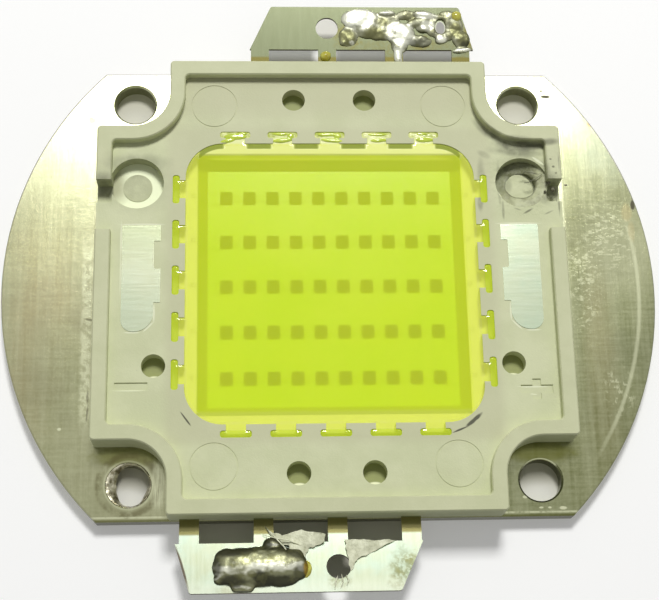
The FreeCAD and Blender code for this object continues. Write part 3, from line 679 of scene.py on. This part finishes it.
filmLook = {"pale": rgb(240, 242, 212), "creased": rgb(192, 194, 160), "roughness": 0.45}


def makePlain(name, first, second, cloud, constants):
    material, tree, shader = newMaterial(name, **constants)
    plug(tree, shader["Base Color"], blend(tree, mottle(tree, *cloud), first, second))
    if name == "burrMetal":
        roughen(tree, shader, mottle(tree, 3.0, 4.0, 0.2, 0.8), 0.03, 0.7)
    return material


def makeFilm():
    material, tree, shader = newMaterial("tornFilm", roughness=filmLook["roughness"])
    creases = strokes(tree, (2.0, 0.8, 1.0), 8.0)
    plug(tree, shader["Base Color"], blend(tree, creases, filmLook["pale"], filmLook["creased"]))
    roughen(tree, shader, mottle(tree, 3.0, 5.0), 0.05, 0.6)
    return material


plateMetal = makePlateMetal()
framePlastic = makeFramePlastic()
leadMetal = makeLeadMetal()
gelMaterial = makeGelMaterial()
solderShiny = makeSolder("solderShiny", dropLook)
solderMessy = makeSolder("solderMessy", poolLook)
burntPlastic = makeBurntPlastic()
tornFilm = makeFilm()
plain = {name: makePlain(name, *values) for name, values in plainLooks.items()}
print("materials ready")


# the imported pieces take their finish

finishes = {"base_plate": plateMetal, "frame": framePlastic, "positive_leadframe": leadMetal,
            "negative_leadframe": leadMetal, "die_bonds": plain["bondSilver"],
            "bond_wires": plain["wireGold"]}
for node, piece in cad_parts.items():
    finish = plain["dieCrystal"] if node.startswith("led_die") else finishes.get(node)
    if finish:
        piece.data.materials.clear()
        piece.data.materials.append(finish)


# mesh building

def meshFrom(name, shape):
    mesh = bpy.data.meshes.new(name)
    shape.to_mesh(mesh)
    shape.free()
    return mesh


def placed(name, data):
    item = bpy.data.objects.new(name, data)
    bpy.context.scene.collection.objects.link(item)
    return item


def finishPiece(name, shape, material, smooth=60.0):
    mesh = meshFrom(name, shape)
    mesh.polygons.foreach_set("use_smooth", [True] * len(mesh.polygons))
    mesh.set_sharp_from_angle(angle=math.radians(smooth))
    mesh.materials.append(material)
    piece = placed(name, mesh)
    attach(piece, "root")
    return piece


def modified(shape, kind, **settings):
    # runs one modifier over a bmesh and hands back the result
    mesh = meshFrom("work", shape)
    holder = placed("work", mesh)
    change = holder.modifiers.new("change", kind)
    for label, value in settings.items():
        setattr(change, label, value)
    ready = bpy.data.meshes.new_from_object(holder.evaluated_get(bpy.context.evaluated_depsgraph_get()))
    result = bmesh.new()
    result.from_mesh(ready)
    bpy.data.objects.remove(holder)
    bpy.data.meshes.remove(mesh)
    bpy.data.meshes.remove(ready)
    return result


def welded(shape, other):
    # union of two closed shapes
    holder = placed("other", meshFrom("other", other))
    result = modified(shape, "BOOLEAN", operation="UNION", solver="EXACT", object=holder)
    bpy.data.objects.remove(holder)
    return result


def clean(shape):
    bmesh.ops.remove_doubles(shape, verts=shape.verts, dist=0.002 * mm)
    bmesh.ops.recalc_face_normals(shape, faces=shape.faces)
    return shape


def inMetres(shape):
    bmesh.ops.scale(shape, vec=(mm, mm, mm), verts=shape.verts)
    return shape


def lattice(shape, loops, around=False, along=False):
    # faces between neighbouring loops; around closes each loop, along joins the last loop to the first
    after = loops[1:] + loops[:1] if along else loops[1:]
    for first, second in zip(loops, after):
        for step in range(len(first) if around else len(first) - 1):
            turn = (step + 1) % len(first)
            shape.faces.new((first[step], first[turn], second[turn], second[step]))


# gel that fills the window and its T-shaped keys

gelLow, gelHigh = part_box("phosphor_gel")
gel = {
    "keyDepth": 1.1, "keyBar": 0.6, "keyCorner": 0.22, "keyPitch": 4.1, "keyCount": 5, "keyNeck": 1.65,
    "keyWidth": 2.6, "corner": 3.2, "cornerSteps": 8, "gap": 0.004, "ledge": 1.0, "slope": 0.85,
    "ledgeZ": 2.27,
    "slopeZ": 1.95, "wellTop": 3.0, "edgeDrop": 0.05, "edgeSteps": ((0.07, 0.65), (0.11, 0.35)),
}


def arc(middleX, middleY, radius, start, end, steps):
    # points along an arc, with its angles in degrees
    angles = [math.radians(start + (end - start) * step / steps) for step in range(steps + 1)]
    return [(middleX + radius * math.cos(angle), middleY + radius * math.sin(angle)) for angle in angles]


def gelOutline(reach):
    # one quarter of the window's edge with its keys, turned four times
    side = reach - gel["gap"]
    neck = gel["keyNeck"] / 2 - gel["gap"]
    far = side + gel["keyDepth"]
    step = reach + gel["keyDepth"] - gel["keyBar"] + gel["gap"]
    bend = gel["keyCorner"]
    wide = gel["keyWidth"] / 2 - gel["gap"] - bend
    first = gel["keyPitch"] * (gel["keyCount"] - 1) / 2
    points = []
    for turn in range(4):
        quarter = []
        for key in range(gel["keyCount"]):
            middle = first - key * gel["keyPitch"]
            quarter += [(middle + neck, side), (middle + neck, step)]
            quarter += arc(middle + wide, step + bend, bend, -90, 0, 4)
            quarter += arc(middle + wide, far - bend, bend, 0, 90, 4)
            quarter += arc(middle - wide, far - bend, bend, 90, 180, 4)
            quarter += arc(middle - wide, step + bend, bend, 180, 270, 4)
            quarter += [(middle - neck, step), (middle - neck, side)]
        corner = gel["corner"]
        quarter += arc(corner - side, side - corner, corner, 90, 180, gel["cornerSteps"])
        spin = Matrix.Rotation(math.radians(90 * turn), 2)
        points += [spin @ Vector(point) for point in quarter]
    return points


def gelSheet(window, top):
    # the upper part, over the leads' ledge and in the keys, with a rounded lip
    shape = bmesh.new()
    face = shape.faces.new([shape.verts.new((x, y, top - gel["edgeDrop"])) for x, y in gelOutline(window)])
    sunk = bmesh.ops.extrude_face_region(shape, geom=[face])
    for item in sunk["geom"]:
        if isinstance(item, bmesh.types.BMVert):
            item.co.z = gel["ledgeZ"]
    upper = [item for item in shape.faces if all(vert.co.z > top - 0.1 for vert in item.verts)][0]
    for inset, share in gel["edgeSteps"]:
        bmesh.ops.inset_region(shape, faces=[upper], thickness=inset, use_even_offset=True)
        for vert in upper.verts:
            vert.co.z += gel["edgeDrop"] * share
    return clean(shape)


def gelWell(window):
    # the lower part, which narrows towards the base plate
    ledge = window - gel["ledge"] - gel["gap"]
    foot = ledge - gel["slope"]
    well = bmesh.new()
    bmesh.ops.create_cube(well, size=2.0)
    bmesh.ops.scale(well, vec=(ledge, ledge, 0.5), verts=well.verts)
    for vert in well.verts:
        vert.co.z = gel["wellTop"] if vert.co.z > 0 else gel["slopeZ"]
    under = [item for item in well.faces if item.normal.z < -0.5]
    slab = bmesh.ops.extrude_face_region(well, geom=under)
    bmesh.ops.delete(well, geom=under, context="FACES_ONLY")
    low = [item for item in slab["geom"] if isinstance(item, bmesh.types.BMVert)]
    bmesh.ops.scale(well, vec=(foot / ledge, foot / ledge, 1), verts=low)
    for vert in low:
        vert.co.z = gelLow.z / mm + gel["gap"]
    return clean(well)


def makeGel():
    window = gelHigh.x / mm - gel["keyDepth"]
    shape = clean(welded(gelSheet(window, gelHigh.z / mm), gelWell(window)))
    piece = finishPiece("gelFill", inMetres(shape), gelMaterial, 25.0)
    for face in piece.data.polygons:
        face.use_smooth = abs(face.normal.z) < 0.9999
    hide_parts("phosphor_gel")


makeGel()
print("gel poured")


# lumps: solder, flux and squeezed gel as balls that run together

def runTogether(lumps, voxel, ruffle, seed, passes=3):
    # lumps are x, y, half length, half width, height, turn in degrees
    floor = -0.02  # lumps are cut off just below what carries them
    shape = bmesh.new()
    for x, y, long, wide, high, turn in lumps:
        place = Matrix.Translation((x, y, 0)) @ Matrix.Rotation(math.radians(turn), 4, "Z")
        place = place @ Matrix.Diagonal((long, wide, high, 1))
        bmesh.ops.create_icosphere(shape, subdivisions=3, radius=1.0, matrix=place)
    shape = modified(shape, "REMESH", mode="VOXEL", voxel_size=voxel)
    for step in range(passes):
        bmesh.ops.smooth_vert(shape, verts=shape.verts, factor=0.5, use_axis_x=True, use_axis_y=True,
                              use_axis_z=True)
    shape.normal_update()
    for vert in shape.verts:
        lift = noise.noise(vert.co * 1.1 + Vector((seed, 0, 0))) + 0.3 * noise.noise(vert.co * 2.7)
        vert.co += vert.normal * lift * ruffle
    for vert in shape.verts:
        vert.co.z = max(vert.co.z, floor)
    return clean(shape)


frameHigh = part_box("frame")[1]
tab = {"hingeY": frameHigh.y / mm, "topZ": 2.25, "bend": 6.0, "tipY": 26.0}


def ontoTab(shape, side):
    # from flat tab millimetres to the bent tab: 1 at the plus side, -1 at the minus side
    hinge = Vector((0, tab["hingeY"], tab["topZ"]))
    turn = Matrix.Rotation(math.radians(0 if side > 0 else 180), 4, "Z")
    tilt = Matrix.Translation(hinge) @ Matrix.Rotation(math.radians(tab["bend"]), 4, "X")
    back = Matrix.Translation((0, -tab["hingeY"], 0))
    for vert in shape.verts:
        vert.co.y = min(vert.co.y, tab["tipY"])
    bmesh.ops.transform(shape, matrix=Matrix.Scale(mm, 4) @ turn @ tilt @ back, verts=shape.verts)
    return shape


# the drop on the lower tab: x, y run outwards and to the left from the middle
lowerDrop = {
    "voxel": 0.09, "ruffle": 0.05, "seed": 3.0, "passes": 5,
    "lumps": ((5.4, 23.9, 2.9, 1.6, 1.08, 0), (6.4, 23.95, 3.2, 1.68, 1.13, 0),
              (7.4, 24.0, 2.8, 1.65, 1.1, 0), (4.0, 23.8, 1.5, 1.3, 0.9, 0),
              (8.6, 24.0, 1.5, 1.5, 0.95, 0), (9.0, 23.3, 1.0, 0.9, 0.7, 20),
              (5.3, 22.25, 0.8, 0.7, 0.6, 0), (7.7, 25.5, 1.0, 0.75, 0.5, 0),
              (4.6, 24.9, 1.5, 0.75, 0.6, 0), (3.3, 24.2, 0.9, 0.9, 0.7, 0),
              (3.4, 23.0, 0.7, 0.7, 0.5, 0), (9.3, 24.8, 0.8, 0.6, 0.6, 30)),
}

upperPool = {
    "voxel": 0.08, "ruffle": 0.09, "seed": 8.0,
    "lumps": ((3.0, 24.9, 1.8, 1.0, 0.3, 0), (3.6, 24.1, 1.2, 1.1, 0.26, 0),
              (1.9, 23.2, 0.9, 1.0, 0.13, 0), (1.5, 22.7, 0.4, 0.4, 0.14, 0),
              (4.9, 24.2, 1.9, 1.4, 0.16, 0), (6.6, 23.5, 1.4, 1.1, 0.3, 0),
              (6.5, 22.5, 0.8, 0.9, 0.28, 0), (6.35, 21.4, 0.42, 1.0, 0.24, 0),
              (8.3, 24.6, 1.2, 0.5, 0.28, 12), (8.9, 25.3, 1.3, 0.4, 0.26, -8),
              (8.7, 24.0, 0.7, 0.4, 0.26, 0), (8.3, 22.8, 1.2, 0.6, 0.16, 0),
              (10.3, 22.9, 0.6, 0.4, 0.26, 10), (11.6, 24.2, 0.8, 1.1, 0.16, 0),
              (12.1, 23.0, 0.8, 0.9, 0.2, 0), (12.1, 21.95, 0.9, 0.28, 0.26, 8),
              (7.2, 25.3, 1.0, 0.5, 0.16, 0), (10.9, 25.3, 0.8, 0.5, 0.16, 0),
              (5.4, 25.45, 0.8, 0.28, 0.26, 0), (9.5, 23.7, 0.5, 0.5, 0.18, 0),
              (10.9, 23.5, 0.45, 0.7, 0.18, 0), (9.6, 24.6, 0.5, 0.7, 0.18, 0),
              (10.3, 25.1, 0.8, 0.4, 0.16, 0), (10.9, 24.5, 0.4, 0.8, 0.18, 0),
              (10.2, 23.35, 0.7, 0.35, 0.16, 0)),
    "hole": (10.24, 24.2, 0.48, 0.72),  # x, y, half width and half height of the small hole in it
}


def makeLowerDrop():
    shape = runTogether(**lowerDrop)
    piece = finishPiece("solderDrop", ontoTab(shape, -1), solderShiny)
    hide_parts("solder_negative")


def makeUpperPool():
    shape = runTogether(upperPool["lumps"], upperPool["voxel"], upperPool["ruffle"], upperPool["seed"])
    x, y, wide, high = upperPool["hole"]
    for vert in shape.verts:
        # solder drew back from the small hole
        away = Vector(((vert.co.x - x) / wide, (vert.co.y - y) / high))
        if 0 < away.length < 1.0:
            away.normalize()
            vert.co.x = x + away.x * wide
            vert.co.y = y + away.y * high
    piece = finishPiece("solderPool", ontoTab(clean(shape), 1), solderMessy)
    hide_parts("solder_positive")


makeLowerDrop()
makeUpperPool()

drops = {
    # name: side, x, y, half length, half width, height
    "fluxDropTop": (1, -0.15, 21.35, 0.5, 0.5, 0.4), "fluxDropCorner": (1, 11.7, 25.2, 0.5, 0.5, 0.3),
    "fluxDropLower": (-1, 2.7, 24.2, 0.55, 0.75, 0.22),
}
for name, (side, x, y, long, wide, high) in drops.items():
    lobe = (x + long * 0.4, y + wide * 0.3, long * 0.6, wide * 0.6, high * 0.7, 0)
    shape = runTogether(((x, y, long, wide, high, 0), lobe), voxel=0.06, ruffle=0.03, seed=x)
    finishPiece(name, ontoTab(shape, side), plain["amberFlux"])
print("solder and flux laid")


# small worn and torn pieces

def strand(points, thick):
    # thin round thread through the points
    shape = bmesh.new()
    rings = []
    for index, point in enumerate(points):
        here = Vector(point)
        ahead = Vector(points[min(index + 1, len(points) - 1)]) - Vector(points[max(index - 1, 0)])
        side = ahead.orthogonal().normalized()
        across = ahead.cross(side).normalized()
        wide = thick * (0.35 if index in (0, len(points) - 1) else 1.0)
        rings.append([shape.verts.new(here + wide * (math.cos(turn) * side + math.sin(turn) * across))
                      for turn in (math.radians(60 * step) for step in range(6))])
    lattice(shape, rings, around=True)
    shape.faces.new(rings[0])
    shape.faces.new(rings[-1])
    return clean(shape)


def sheet(outline, thick, ruffle, seed, cuts=5):
    # torn flake: an outline with heights, divided, crumpled and given thickness
    shape = bmesh.new()
    shape.faces.new([shape.verts.new(point) for point in outline])
    bmesh.ops.triangulate(shape, faces=shape.faces)
    for step in range(cuts):
        long = [edge for edge in shape.edges if edge.calc_length() > 0.25]
        if long:
            bmesh.ops.subdivide_edges(shape, edges=long, cuts=1)
            bmesh.ops.triangulate(shape, faces=shape.faces)
    for vert in shape.verts:
        vert.co.z += ruffle * noise.noise(vert.co * 1.4 + Vector((seed, 0, 0)))
        if vert.is_boundary:
            vert.co += 0.12 * noise.noise_vector(vert.co * 3.0 + Vector((seed, 0, 0)))
    bmesh.ops.recalc_face_normals(shape, faces=shape.faces)
    return clean(modified(shape, "SOLIDIFY", thickness=thick))


# torn films and fibres on the lower tab: x and y run outwards from the middle, then the height
films = {
    "filmBig": ((5.7, 21.0, 2.4), (4.5, 21.5, 2.5), (3.1, 21.1, 2.75), (1.0, 21.5, 2.7), (1.2, 22.1, 2.6),
                (2.4, 22.6, 2.45), (2.9, 23.6, 2.5), (3.6, 23.3, 2.75), (4.0, 22.4, 2.6), (5.0, 22.1, 2.4)),
    "filmSmall": ((-0.5, 21.9, 2.5), (-2.6, 21.95, 2.5), (-4.6, 22.0, 2.45), (-2.9, 22.9, 2.4),
                  (-1.5, 23.5, 2.45), (-0.9, 24.5, 2.35), (-0.75, 23.3, 2.5)),
}
fibres = {
    "fibreOne": ((5.9, 20.7, 2.35), (5.2, 21.6, 2.75), (4.4, 22.5, 2.85), (3.9, 23.2, 2.7)),
    "fibreTwo": ((6.1, 21.4, 2.4), (5.0, 21.8, 2.8), (4.0, 22.0, 2.9), (2.9, 22.4, 2.6)),
    "fibreThree": ((-0.2, 24.7, 2.32), (-0.3, 25.3, 2.4), (-0.1, 25.8, 2.36)),
    "fibreFour": ((0.1, 24.8, 2.32), (0.3, 25.3, 2.42), (0.35, 25.9, 2.34)),
    "fibreFive": ((-0.55, 24.75, 2.32), (-0.75, 25.2, 2.4), (-0.6, 25.6, 2.36)),
}


def bent(shape):
    # like ontoTab, for shapes whose heights are true ones at the hinge
    for vert in shape.verts:
        vert.co.z -= tab["topZ"]
    return ontoTab(shape, -1)


for name, outline in films.items():
    finishPiece(name, bent(sheet(outline, thick=0.04, ruffle=0.16, seed=4.0)), tornFilm)
for name, points in fibres.items():
    finishPiece(name, bent(strand(points, thick=0.06)), tornFilm)

# plastic that melted round the plug of the right recess, climbing from the burnt crescent to the floor
melt = {
    "x": 16.6, "y": 8.75, "inner": 1.27, "outer": 2.29, "low": 2.2, "steps": 72, "rings": 10,
    "highSide": -45.0, "highTop": 3.38, "lowTop": 2.36, "dip": 0.35, "limitZ": 3.42,
}


def makeMelt():
    shape = bmesh.new()
    climb = melt["highTop"] - melt["lowTop"]
    loops = []
    for step in range(melt["steps"]):
        turn = 2 * math.pi * step / melt["steps"]
        near = 0.5 + 0.5 * math.cos(turn - math.radians(melt["highSide"]))
        rise = min(1.0, 1.5 * near ** 1.4)
        top, under = [], []
        for ring in range(melt["rings"] + 1):
            share = ring / melt["rings"]
            radius = melt["inner"] + (melt["outer"] - melt["inner"]) * share
            height = melt["lowTop"] + climb * rise - melt["dip"] * (1 - share) ** 2 * rise
            point = Vector((melt["x"] + radius * math.cos(turn), melt["y"] + radius * math.sin(turn), height))
            point.z += 0.1 * noise.noise(point * 1.7) + 0.05 * noise.noise(point * 4.5)
            point.z = min(point.z, melt["limitZ"])
            top.append(shape.verts.new(point))
            under.append(shape.verts.new((point.x, point.y, melt["low"])))
        loops.append(top + under[::-1])
    lattice(shape, loops, around=True, along=True)
    finishPiece("meltedPlastic", inMetres(clean(shape)), burntPlastic, 40.0)


makeMelt()

threads = {
    "threadLong": ((16.9, 8.9, 3.0), (17.2, 8.84, 3.3), (17.7, 9.05, 3.4), (18.1, 9.3, 3.42),
                   (18.5, 9.6, 3.42)),
    "threadLoop": ((16.6, 9.6, 2.9), (17.0, 9.9, 3.2), (17.6, 9.75, 3.3), (18.2, 9.55, 3.35)),
}
for name, points in threads.items():
    finishPiece(name, inMetres(strand(points, thick=0.05)), plain["threadGrey"])

# crumbs of burnt plastic on the frame's floor and in the slot: x, y, radius
crumbs = {"z": 3.47, "places": ((18.95, 8.7, 0.16), (19.3, 8.1, 0.2), (18.6, 7.9, 0.12), (18.75, 10.3, 0.09))}


def makeCrumbs():
    shape = bmesh.new()
    for x, y, radius in crumbs["places"]:
        place = Matrix.Translation((x, y, crumbs["z"]))
        bmesh.ops.create_icosphere(shape, subdivisions=2, radius=radius, matrix=place)
    for vert in shape.verts:
        vert.co += 0.05 * noise.noise_vector(vert.co * 6.0)
    finishPiece("burntCrumbs", inMetres(clean(shape)), plain["burntCrumb"])


makeCrumbs()

# metal folded inwards round the lower left screw hole, furthest at its left and at its lower right
burr = {
    "x": -17.0, "y": -17.0, "radius": 1.84, "steps": 90, "rings": 5, "topZ": 1.54, "drop": 0.5, "thick": 0.05,
    "lowSide": -25.0, "least": 0.07,
}


def makeBurr():
    shape = bmesh.new()
    rows = []
    for step in range(burr["steps"]):
        turn = 2 * math.pi * step / burr["steps"]
        left = 0.5 - 0.5 * math.cos(turn)
        low = max(0.0, math.cos(turn - math.radians(burr["lowSide"])))
        reach = 0.1 + 0.75 * left ** 3 + 0.3 * low ** 8
        reach += 0.12 * noise.noise(Vector((2 * math.cos(turn), 2 * math.sin(turn), 5.0)))
        reach = max(reach, burr["least"])
        row = []
        for ring in range(burr["rings"] + 1):
            share = ring / burr["rings"]
            radius = burr["radius"] - reach * share
            z = burr["topZ"] - 0.006 - burr["drop"] * share ** 1.5
            point = Vector((burr["x"] + radius * math.cos(turn), burr["y"] + radius * math.sin(turn), z))
            point.z += 0.08 * noise.noise(point * 3.5)
            point.z = min(point.z, burr["topZ"] - 0.004)
            row.append(shape.verts.new(point))
        rows.append(row)
    lattice(shape, rows, along=True)
    bmesh.ops.recalc_face_normals(shape, faces=shape.faces)
    bmesh.ops.solidify(shape, geom=shape.faces, thickness=burr["thick"])
    finishPiece("holeBurr", inMetres(clean(shape)), plain["burrMetal"], 40.0)


makeBurr()

# gel squeezed over the edge at the upper keys: x, y, half length, half width, height, turn
squeezed = {
    "z": 3.4, "voxel": 0.05, "ruffle": 0.03, "seed": 6.0,
    "lumps": ((-4.1, 12.75, 0.9, 0.22, 0.12, 5), (-4.3, 13.35, 0.7, 0.16, 0.08, 0),
              (-3.4, 13.1, 0.3, 0.35, 0.1, 0), (0.2, 12.75, 1.0, 0.2, 0.12, -4),
              (-0.2, 13.3, 0.9, 0.2, 0.1, 0), (0.7, 13.15, 0.35, 0.3, 0.1, 20),
              (-8.2, 13.1, 1.0, 0.3, 0.1, 0), (-8.9, 12.7, 0.7, 0.2, 0.1, 10),
              (4.3, 12.75, 0.8, 0.18, 0.1, 3), (4.2, 13.3, 0.9, 0.14, 0.07, 0),
              (8.3, 12.8, 0.8, 0.25, 0.12, 0), (8.1, 13.35, 0.5, 0.14, 0.08, 0),
              (-7.6, 13.4, 0.5, 0.14, 0.08, 0)),
}


def makeSqueezed():
    shape = runTogether(squeezed["lumps"], squeezed["voxel"], squeezed["ruffle"], squeezed["seed"], 2)
    bmesh.ops.translate(shape, vec=(0, 0, squeezed["z"]), verts=shape.verts)
    finishPiece("gelSqueezed", inMetres(shape), plain["gelSkin"])


makeSqueezed()
print("small pieces laid")


# stage, light and camera

stageLook = {
    "size": 3.0, "floor": rgb(232, 232, 230), "under": rgb(204, 202, 186), "lowerHoleShade": rgb(178, 174, 162),
    "upperHoleShade": rgb(236, 234, 226), "bright": rgb(252, 252, 250), "glow": 0.22, "bounce": (0.3, 0.3, 0.3, 1),
    "black": (0, 0, 0, 1), "white": (1, 1, 1, 1), "ambient": 0.22, "screwHole": 17.0,
    # half width and half depth of the shade under the plate, and middle and half width of that under a tab
    "plateShade": (20.0, 19.0), "tabShade": (3.1, 9.6, 8.8),
}


def seenDirectly(tree):
    # by the camera, in a reflection or through a clear piece
    rays = add(tree, "LightPath").outputs
    return most(tree, rays["Is Camera Ray"], rays["Is Glossy Ray"], rays["Is Transmission Ray"])


def makeFloor():
    look = stageLook
    shape = bmesh.new()
    bmesh.ops.create_grid(shape, x_segments=1, y_segments=1, size=look["size"])
    floor = placed("floor", meshFrom("floor", shape))
    material, tree, shader = newMaterial("paleFloor", roughness=0.9, Emission_Strength=1.0)
    direct = seenDirectly(tree)
    x, y, z = split(tree, places(tree))
    # shade under the plate, and under the tabs, which lie half a turn from each other
    deep = calc(tree, "ABSOLUTE", y)
    along = times(tree, x, calc(tree, "SIGN", y))
    plate = ramp(tree, squareReach(tree, x, y), *look["plateShade"])
    tabs = times(tree, ramp(tree, deep, 23.0, 21.5), band(tree, along, *look["tabShade"]))
    under = most(tree, plate, tabs)
    seen = blend(tree, under, look["floor"], look["under"])
    # painted shade that shows only through the wire holes
    for px, py, paint in ((0.2, -23.4, "lowerHoleShade"), (0.0, 25.4, "upperHoleShade")):
        spot = patch(tree, px, py, 1.4, 1.4, 0.2, 0.0)
        seen = blend(tree, spot, seen, look[paint])
        under = most(tree, under, spot)
    # brighter spots of painted light that show only through the screw holes
    for px in (-look["screwHole"], look["screwHole"]):
        for py, share in ((-look["screwHole"], 0.5), (look["screwHole"], 0.2)):
            seen = tint(tree, seen, look["bright"], patch(tree, px, py - 1.2, 1.9, 1.2, 0.7, 0.0), share)
    plug(tree, shader["Base Color"], blend(tree, direct, look["bounce"], seen))
    glow = times(tree, inverse(tree, under), look["glow"])
    plug(tree, shader["Emission Color"], tint(tree, look["black"], look["white"], direct, glow))
    floor.data.materials.append(material)


def makeWorld():
    world = bpy.data.worlds.new("studio")
    world.use_nodes = True
    tree = world.node_tree
    back = tree.nodes["Background"]
    back.inputs["Color"].default_value = stageLook["white"]
    strength = ramp(tree, seenDirectly(tree), 0.0, 1.0, stageLook["ambient"], 1.0, kind="LINEAR")
    plug(tree, back.inputs["Strength"], strength)
    bpy.context.scene.world = world


lamps = {
    # name: azimuth from +Y towards +X, elevation, distance in metres, side in metres, watts
    "keyLamp": (6.0, 58.0, 0.6, 0.13, 2.7),
    "sheenLamp": (-16.0, 61.0, 0.6, 0.08, 0.14),
}


def makeLamps():
    for name, (azimuth, elevation, distance, side, watts) in lamps.items():
        light = bpy.data.lights.new(name, "AREA")
        light.size = side
        light.energy = watts
        lamp = placed(name, light)
        around, up = math.radians(azimuth), math.radians(elevation)
        lamp.location = distance * Vector((math.sin(around) * math.cos(up), math.cos(around) * math.cos(up),
                                           math.sin(up)))
        lamp.rotation_euler = lamp.location.to_track_quat("Z", "Y").to_euler()


view = {
    # place in mm, turns in radians, focal length and middle of the picture in pixels of a 659 x 600 picture
    "place": (-6.63, -40.88, 125.4), "turnX": 0.3101, "turnY": -0.0568, "turnZ": -0.0065,
    "focal": 1524.64, "middleX": 344.09, "pictureWidth": 659, "sensor": 36.0,
}


def makeCamera():
    lens = bpy.data.cameras.new("camera")
    lens.sensor_width = view["sensor"]
    lens.lens = view["focal"] / view["pictureWidth"] * view["sensor"]
    lens.shift_x = (view["pictureWidth"] / 2 - view["middleX"]) / view["pictureWidth"]
    lens.clip_start = 0.001
    lens.clip_end = 20.0
    camera = placed("camera", lens)
    turn = (Matrix.Rotation(view["turnZ"], 4, "Z") @ Matrix.Rotation(view["turnX"], 4, "X")
            @ Matrix.Rotation(view["turnY"], 4, "Y"))
    camera.matrix_world = Matrix.Translation(Vector(view["place"]) * mm) @ turn
    bpy.context.scene.camera = camera


makeFloor()
makeWorld()
makeLamps()
makeCamera()
bpy.context.scene.view_settings.view_transform = "Standard"
print("stage, lamps and camera set")
